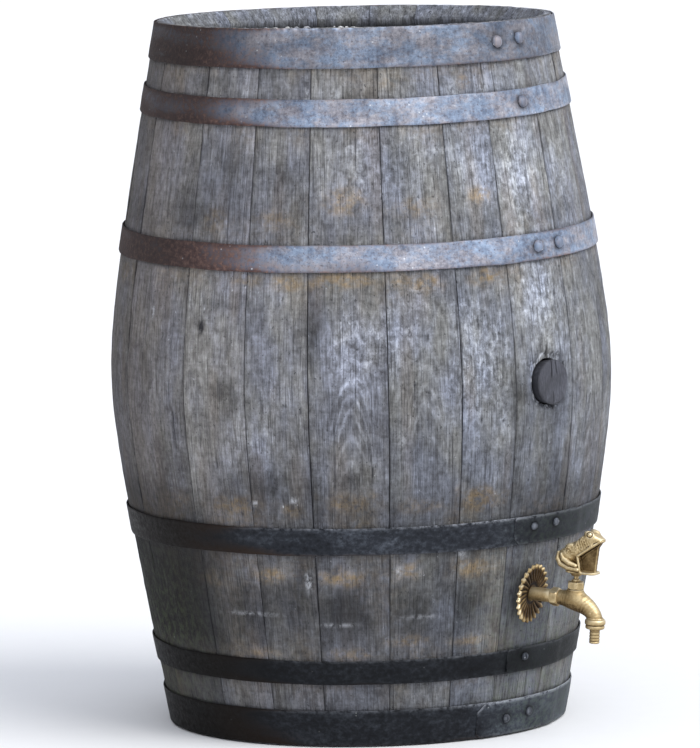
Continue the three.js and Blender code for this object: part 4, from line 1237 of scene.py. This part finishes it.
def blob(point, centre, radii, lean=0):
    """Distance to an ellipsoid whose nose is raised by lean degrees."""
    x, y, z = (p - c for p, c in zip(point, centre))
    turn = math.radians(lean)
    x, z = x * math.cos(turn) + z * math.sin(turn), z * math.cos(turn) - x * math.sin(turn)
    near = np.sqrt((x / radii[0]) ** 2 + (y / radii[1]) ** 2 + (z / radii[2]) ** 2) + 1e-9
    steep = np.sqrt((x / radii[0] ** 2) ** 2 + (y / radii[1] ** 2) ** 2 + (z / radii[2] ** 2) ** 2) + 1e-9
    return near * (near - 1) / steep


def bar(point, stations):
    """Distance to a round bar through (x, y, z, radius) stations."""
    nearest = np.full(point[0].shape, 1e9)
    for a, b in zip(stations, stations[1:]):
        way = np.subtract(b[:3], a[:3])
        offset = [p - c for p, c in zip(point, a)]
        share = np.clip(sum(o * w for o, w in zip(offset, way)) / (way @ way), 0, 1)
        away = np.sqrt(sum((o - share * w) ** 2 for o, w in zip(offset, way)))
        nearest = np.minimum(nearest, away - a[3] - share * (b[3] - a[3]))
    return nearest


def outline_distance(x, z, outline):
    """Distance to a flat outline, negative inside."""
    nearest = np.full(x.shape, 1e9)
    inside = np.zeros(x.shape, bool)
    for (ax, az), (bx, bz) in zip(outline, outline[1:] + outline[:1]):
        wx, wz = bx - ax, bz - az
        share = np.clip(((x - ax) * wx + (z - az) * wz) / (wx * wx + wz * wz), 0, 1)
        nearest = np.minimum(nearest, np.hypot(x - ax - share * wx, z - az - share * wz))
        spans = (az > z) != (bz > z)
        inside ^= spans & (x < ax + (z - az) / (wz if wz else 1) * wx)
    return np.where(inside, -nearest, nearest)


def blend(a, b, reach):
    """Union with a fillet."""
    near = np.clip(reach - np.abs(a - b), 0, None) / reach
    return np.minimum(a, b) - near * near * reach / 4


def carve(a, b, reach):
    """What is left of a without b, with a soft edge."""
    return -blend(-a, b, reach)


def skin(field, low, step):
    """The zero surface of a field on a grid: one corner in each cell that it crosses, and quads."""
    inside = field < 0
    size = [n - 1 for n in field.shape]
    total = np.zeros((*size, 3))
    count = np.zeros(size)
    for corner in np.ndindex(2, 2, 2):
        for axis in range(3):
            if corner[axis]:
                continue
            other = list(corner)
            other[axis] = 1
            a = field[tuple(slice(c, c + n) for c, n in zip(corner, size))]
            b = field[tuple(slice(c, c + n) for c, n in zip(other, size))]
            crossed = (a < 0) != (b < 0)
            share = np.where(crossed, a / np.where(crossed, a - b, 1), 0)
            total += (np.array(corner) + share[..., None] * np.eye(3)[axis]) * crossed[..., None]
            count += crossed
    used = count > 0
    number = np.cumsum(used.ravel()).reshape(used.shape) - 1
    points = np.asarray(low) + step * (np.argwhere(used) + total[used] / count[used][:, None])
    faces = []
    for axis in range(3):
        order = (axis, (axis + 1) % 3, (axis + 2) % 3)
        filled = np.transpose(inside, order)
        cell = np.transpose(number, order)
        ring = np.stack([cell[:, :-1, :-1], cell[:, 1:, :-1], cell[:, 1:, 1:], cell[:, :-1, 1:]], -1)
        here, ahead = filled[:-1, 1:-1, 1:-1], filled[1:, 1:-1, 1:-1]
        faces += ring[here & ~ahead].tolist()
        faces += ring[~here & ahead][:, ::-1].tolist()
    return points, faces


def shape_from(field, low, high, step):
    """The skin of a field that is worked out on a grid from one corner to the other."""
    axes = [np.arange(a, b, step) for a, b in zip(low, high)]
    grid = np.meshgrid(*axes, indexing="ij")
    return skin(field(grid), low, step)


# ---------------------------------------------------------------- tap


def hexagonal(flats):
    """Radius round a hexagon with a flat facing +Y, no further out than the station's own radius."""
    def radius_at(turn, radius, height):
        reach = flats / 2 / np.cos(turn % (math.pi / 3) - math.pi / 6)
        return np.where(radius > 0.45 * flats, np.minimum(reach, radius), radius)
    return radius_at


def make_rosette():
    """A sunburst plate: slanting petals with raised tips round a ribbed middle and a plain hub."""
    petals, around = 24, 24 * 16
    turn = full_turn(around)
    swing = 0.16
    section = [(10, 0), (10, 2.0), (10.4, 2.3), (11.0, 2.2), (11.8, 1.7), (13.2, 1.5)]
    for share in (0.08, 0.2, 0.32, 0.44, 0.52, 0.60, 0.70, 0.80, 0.88, 0.95, 1.0):
        wave = np.cos(petals * (turn - swing * share))
        edge = 36.3 + 3.6 * np.clip(wave + 0.5, 0, None) / 1.5
        radius = 13.2 + share * (edge - 13.2)
        pleat = np.abs(np.cos(petals * (turn - swing * share) / 2))
        ridge = (0.8 + 2.2 * share) * ramp(share, 0.0, 0.2) * (pleat - 0.35)
        fall = 0.9 * ramp(share, 0.93, 1.0)
        height = 2.0 + ridge - fall + 0.9 * ramp(share, 0.6, 1.0)
        section.append((radius, height))
    rim = section[-1][0]
    section += [(rim, 0.3), (rim - 0.8, 0)]
    points = np.stack(circles(section, around), axis=1)
    # This section runs clockwise, so its faces are turned over.
    faces = ring_faces(around, len(section))[:, [0, 3, 2, 1]]
    tilt = np.array(Matrix.Rotation(math.radians(ROSETTE_TILT), 4, "Y"))
    placed = lying(shifted(tap, -1.1) @ tilt)
    piece = make_piece("tap_rosette", (points, faces.tolist()), "brass", placed=placed)
    reach = np.hypot(points[..., 0], points[..., 1]).ravel()
    # Aged and darker down in the valleys; the petal tips painted lighter, most on the left: a painted
    # highlight.
    valley = fade(points[..., 2].ravel(), 1.4, 3.6)
    left = ramp(-np.sign(placed[0, 1]) * points[..., 1].ravel() / np.clip(reach, 1, None), 0.2, 0.8)
    tips = ramp(reach, 31, 37) * (0.25 + 0.75 * left)
    paint(piece, "age_and_light", 0.95 + 0.6 * valley - 1.45 * tips)


def make_pipe():
    """The pipe from the backnut through the stave to the coupling."""
    section = [(6.5, -57), (8.4, -57), (9, -56.4), (9, 8), (8.9, 22), (9, 36.2), (8.7, 36.7), (6.5, 36.7)]
    make_piece("tap_pipe", ring_of(section, 64), "brass", placed=lying(tap), sharp=35)


def make_coupling():
    """The hexagon between the rosette and the tap's body, its corners chamfered."""
    low, high, corner = 31.0, 42.5, 12.9
    section = [(9.3, low), (10.6, low), (11.2, low + 0.5), (corner, low + 2.0), (corner, high - 2.0),
               (11.2, high - 0.5), (10.5, high), (9.3, high)]
    shape = ring_of(section, 96, hexagonal(22))
    make_piece("tap_coupling", shape, "brass", placed=lying(tap), sharp=22)


def make_body():
    """The casting: it swells under the bonnet, then curves over and down into the spout."""
    stations = [(37.3, 0, 9), (45, 0, 10.2), (49, -0.1, 10.5), (53, -0.3, 11.1), (57, -0.5, 12.0),
                (61, -0.9, 12.9), (65, -1.4, 13.4), (69, -2.1, 13.6), (73, -3.1, 13.4), (77, -4.6, 12.9),
                (81, -6.6, 12.2), (85, -9.0, 11.5), (88.5, -11.6, 10.9), (91.5, -14.4, 10.4),
                (94, -17.4, 10.1), (95.8, -20.6, 9.9), (96.7, -24, 9.8), (SPOUT_X, -30, 9.7)]
    way = [(x, 0, z, radius) for x, z, radius in stations]

    def field(point):
        x, y, z = point
        casting = bar(point, way)
        from_spindle = np.hypot(x - SPINDLE_X, y)
        boss = np.maximum(from_spindle - 10.8, np.maximum(-2 - z, z - 13.4))
        casting = blend(casting, boss, 5)
        collar = np.hypot(x - SPOUT_X, y)
        collar = np.maximum(collar - 11.2, np.abs(z + 22.2) - 1.1)
        casting = blend(casting, collar, 1.5)
        casting = np.maximum(casting, np.maximum(37.3 - x, -29.5 - z))
        casting += 0.12 * noise(x / 3, y / 3, z / 3, seed=81)
        chamber = np.maximum(from_spindle - 8.5, 2 - z)
        outlet = np.maximum(np.hypot(x - SPOUT_X, y) - 5.6, z + 18)
        return np.maximum(casting, -np.minimum(chamber, outlet))

    shape = shape_from(field, (36, -16, -31), (109, 16, 15), 0.55)
    make_piece("tap_body", shape, "brass", placed=tap)


def make_bonnet():
    """The hexagonal head with its spigot below and a small gland collar on top."""
    section = [(6.5, 5.5), (8.2, 5.5), (8.2, 13.9), (9.6, 14), (10.6, 14.3), (12, 15.4), (12, 22.2),
               (10.6, 23.5), (9.3, 24), (6.6, 24.1), (5.9, 24.6), (5.2, 26.6), (4.6, 27.1), (3.8, 27.1),
               (3.8, 20.1), (6.5, 20.1)]
    shape = ring_of(section, 96, hexagonal(20.5))
    make_piece("tap_bonnet", shape, "brass", placed=spindle, sharp=22)


def make_spindle():
    """The spindle with its collar and the square end that the frog sits on."""
    def square_top(turn, radius, height):
        if height < 30.9:
            return radius
        return 2.5 / np.maximum(np.abs(np.cos(turn)), np.abs(np.sin(turn)))

    stations = [(4.1, 7.9), (4.5, 8.3), (4.5, 16.3), (4.1, 16.7), (3.2, 16.7), (3.2, 30.8), (3.2, 30.9),
                (3.2, 39)]
    make_piece("tap_spindle", turned(stations, 64, square_top), "brass", "handle", spindle, sharp=30)


def make_frog():
    """A squatting frog, in the spindle's frame: it looks along +X and its back is up. Under its jaw the
    flanks stop at a sharp angled edge, set out from a flat web. Both flanks are shaped at once."""
    under_jaw = [(10.5, 39.2), (6.2, 58.5), (21.5, 69.3), (38, 81.2), (55, 81.2), (55, 39.2)]
    throat = [(28.7, 39.2), (32, 68), (36.5, 80.6), (55, 80.6), (55, 39.2)]
    web_outline = [(0, 38), (28.7, 38), (32, 72), (36, 80), (10, 78)]
    profile = [(-8, 66), (2, 79), (11, 87.5), (19, 91), (27, 90.5), (39.5, 84.6), (39.5, 80),
               (21.5, 66.5), (6, 56)]

    def field(point):
        x, y, z = point
        side = np.abs(y)
        half = (x, side, z)
        body = blob(point, (-5, 0, 60.5), (23, 13.5, 13.8), 40)
        wide = 12.2 - 5.5 * ramp(x, 24, 40)
        flat = outline_distance(x, z, profile)
        head = np.hypot(np.clip(flat + 4.2, 0, None), np.clip(side - wide + 4.2, 0, None)) - 4.2
        shape = blend(body, head, 4)
        haunch = blob(half, (-12, 8.2, 58), (12.5, 6.8, 10.5), 35)
        shape = blend(shape, haunch, 2.0)
        knee = blob(half, (-7, 9.0, 70.5), (6.8, 4.6, 5.0), 30)
        shape = blend(shape, knee, 2.2)
        warty = plateau(z, 58, 64, 86, 90) * fade(x, 14, 24)
        shape += 0.38 * noise(x / 2.0, y / 2.0, z / 2.0, seed=82) * warty
        folds = plateau(z, 68, 72, 80, 84) * ramp(side, 8, 11) * plateau(x, 2, 6, 22, 28)
        shape += 0.18 * np.cos(1.6 * (x + 0.5 * z)) * folds
        brow = blob(half, (21.0, 8.4, 90.2), (7.6, 4.6, 4.4), -14)
        shape = blend(shape, brow, 2.0)
        eye = blob(half, (22.8, 11.2, 90.2), (3.5, 2.7, 3.1))
        shape = np.minimum(carve(shape, eye - 0.9, 0.6), eye)
        mouth = bar(half, ((41, 0, 83.4, 0.5), (37.5, 6.6, 82.8, 0.6), (30, 9.8, 79.6, 0.7),
                           (19, 12.2, 73.0, 0.5)))
        shape = carve(shape, mouth, 0.7)
        nostril = blob(half, (36.6, 3.4, 87.0), (1.2, 1.0, 1.0))
        shape = carve(shape, nostril, 0.5)
        flank_cut = np.maximum(outline_distance(x, z, under_jaw), 2.6 - side)
        shape = carve(shape, np.minimum(flank_cut, outline_distance(x, z, throat)), 0.7)
        web = np.maximum(outline_distance(x, z, web_outline), side - 2.6)
        shape = blend(shape, web, 1.0)
        lip = bar(half, ((36.5, 6.4, 82.2, 1.3), (29, 9.2, 76.4, 1.5), (20.6, 11.2, 70.4, 1.6),
                         (6.4, 12.0, 59.6, 1.7), (9.6, 12.2, 46, 1.7), (10.5, 12.2, 40, 1.6)))
        shape = blend(shape, lip, 1.0)
        lower_leg = bar(half, ((-22.6, 9.5, 61, 2.6), (-22.6, 11.6, 54, 3.3), (-17.6, 12.8, 47, 3.6),
                               (-7, 13.4, 43.2, 3.4), (8, 13.0, 41.9, 2.8)))
        upper_leg = bar(half, ((-16.5, 12.6, 60, 3.0), (-13, 13.8, 54, 3.7), (-4, 14.4, 49.6, 3.7),
                               (5.0, 13.6, 47.2, 2.8)))
        shape = blend(shape, lower_leg, 0.8)
        shape = blend(shape, upper_leg, 0.8)
        deck = np.hypot(np.clip(np.abs(x - 9.5) - 14, 0, None), np.clip(side - 5, 0, None)) - 8
        deck = np.hypot(np.clip(deck + 1.3, 0, None), np.clip(np.abs(z - 38.0) - 0.3, 0, None)) - 1.3
        cone = 5.6 + (z - 31.3) * 0.72
        boss = np.maximum((np.hypot(x, y) - cone) * 0.8, np.maximum(31.4 - z, z - 38))
        shape = blend(shape, blend(deck, boss, 1.0), 1.4)
        socket = np.maximum(np.maximum(np.abs(x), side) - 2.8, z - 39.3)
        return np.maximum(shape, -socket)

    points, faces = shape_from(field, (-26, -19, 30), (45, 19, 96), 0.6)
    piece = make_piece("frog_handle", (points, faces), "brass", "handle", spindle, sharp=55)
    x, y, z = np.asarray(points).T
    # Lighter all over, and darker in the hollow under the jaw: painted shade.
    hollow_shade = (outline_distance(x, z, under_jaw) < -0.5) & (np.abs(y) < 9) & (z > 40.5)
    paint(piece, "age_and_light", -0.35 + 0.75 * hollow_shade)


def make_hose_union():
    """The round waisted nut under the spout, and the barbed tail that it holds."""
    nut = [(10.1, -33.3), (7.6, -33.3), (7.6, -35.6), (10.8, -35.6), (12.2, -35.0), (12.8, -33.6),
           (12.8, -32.0), (12.3, -30.9), (12.0, -30.4), (12.5, -29.9), (13.5, -29.0), (13.8, -27.6),
           (13.8, -25.4), (13.4, -23.9), (12.4, -22.9), (11.6, -22.8), (10.1, -22.8)]
    make_piece("hose_union_nut", ring_of(nut, 72), "brass", "union_nut", spout, sharp=40)
    tail = [(4.7, -54.9), (6.2, -54.9), (6.9, -53.8), (6.9, -52.6)]
    for z in (-50.5, -46.3, -42.1, -37.9):
        tail += [(6.35, z - 1.4), (7.0, z), (7.0, z + 0.6)]
    tail += [(6.8, -33), (9.3, -33), (9.3, -31.6), (4.7, -31.6)]
    make_piece("hose_tail", ring_of(tail, 64), "brass", "hose_tail", spout, sharp=30)


for make in (make_rosette, make_pipe, make_coupling, make_body, make_bonnet, make_spindle, make_frog,
             make_hose_union):
    make()

# ---------------------------------------------------------------- CAD pieces that stay

KEPT = {
    "tap_backnut": "brass", "tap_wall_seal": "rubber", "tap_stem_seal": "rubber", "tap_jumper": "brass",
    "tap_washer": "rubber", "hose_washer": "rubber", "handle_screw": "brass",
}
for node, material in KEPT.items():
    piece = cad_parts[node]
    piece.data.materials.clear()
    piece.data.materials.append(MATERIALS[material])

# ---------------------------------------------------------------- camera, light and floor


# From the fit of the barrel's outline: metres, degrees, and millimetres for the lens.
CAMERA = dict(back=8.639, up=1.438, yaw=-0.10, pitch=-6.42, roll=-1.20, lens=309.4)


def aim_camera():
    """At the height of a standing person, some way off, with a long lens."""
    yaw, pitch, roll = (math.radians(CAMERA[angle]) for angle in ("yaw", "pitch", "roll"))
    ahead = Vector((math.sin(yaw) * math.cos(pitch), math.cos(yaw) * math.cos(pitch), math.sin(pitch)))
    right = Vector((math.cos(yaw), -math.sin(yaw), 0))
    up = right.cross(ahead)
    right_rolled = math.cos(roll) * right + math.sin(roll) * up
    up_rolled = -math.sin(roll) * right + math.cos(roll) * up
    turn = Matrix((right_rolled, up_rolled, -ahead)).transposed()
    data = bpy.data.cameras.new("camera")
    data.sensor_width = 36
    data.lens = CAMERA["lens"]
    data.clip_start = 0.1
    data.clip_end = 200
    camera = bpy.data.objects.new("camera", data)
    camera.matrix_world = Matrix.Translation((0, -CAMERA["back"], CAMERA["up"])) @ turn.to_4x4()
    bpy.context.scene.collection.objects.link(camera)
    bpy.context.scene.camera = camera


def make_world():
    """A soft bright sky that is brightest up on the right and brown and dim low on the left."""
    world = bpy.data.worlds.new("studio")
    world.use_nodes = True
    bpy.context.scene.world = world
    sky = NodeTree(world.node_tree)
    toward = {0: sky.node("TexCoord", {}, "Generated"), 1: (0.62, -0.25, 0.74)}
    facing = sky.node("VectorMath", toward, "Value", operation="DOT_PRODUCT")
    stops = ((0, 0.20, 0.18, 0.17), (1, 0.92, 0.97, 1.08))
    background = world.node_tree.nodes["Background"]
    sky.put(background.inputs["Color"], sky.colours(sky.between(facing, -0.75, 0.75), stops))
    sky.put(background.inputs["Strength"], 1.0)


def add_sun(name, azimuth, elevation, strength, spread, colour):
    """A broad soft light from a direction."""
    data = bpy.data.lights.new(name, "SUN")
    data.energy = strength
    data.angle = math.radians(spread)
    data.color = colour
    light = bpy.data.objects.new(name, data)
    a, e = math.radians(azimuth), math.radians(elevation)
    back = Vector((math.sin(a) * math.cos(e), -math.cos(a) * math.cos(e), math.sin(e)))
    light.rotation_mode = "QUATERNION"
    light.rotation_quaternion = back.to_track_quat("Z", "Y")
    bpy.context.scene.collection.objects.link(light)


def make_floor():
    """A wide pale floor, in millimetres like the rest."""
    size = 60000
    corners = [(-size, -size, 0), (size, -size, 0), (size, size, 0), (-size, size, 0)]
    floor = new_object("floor", corners, [(0, 1, 2, 3)])
    s = Shader("floor")
    grain = s.noise(s.place(), 30, detail=2)
    s.finish(s.mix(grain, (0.86, 0.86, 0.86), (0.88, 0.88, 0.88)), 0.9, specular=0.1)
    floor.data.materials.append(s.material)


aim_camera()
make_world()
add_sun("key", 52, 46, 1.9, 40, (1.0, 0.99, 0.97))
add_sun("front", -8, 30, 0.45, 60, (0.97, 0.98, 1.0))
make_floor()
bpy.context.scene.view_settings.view_transform = "Standard"
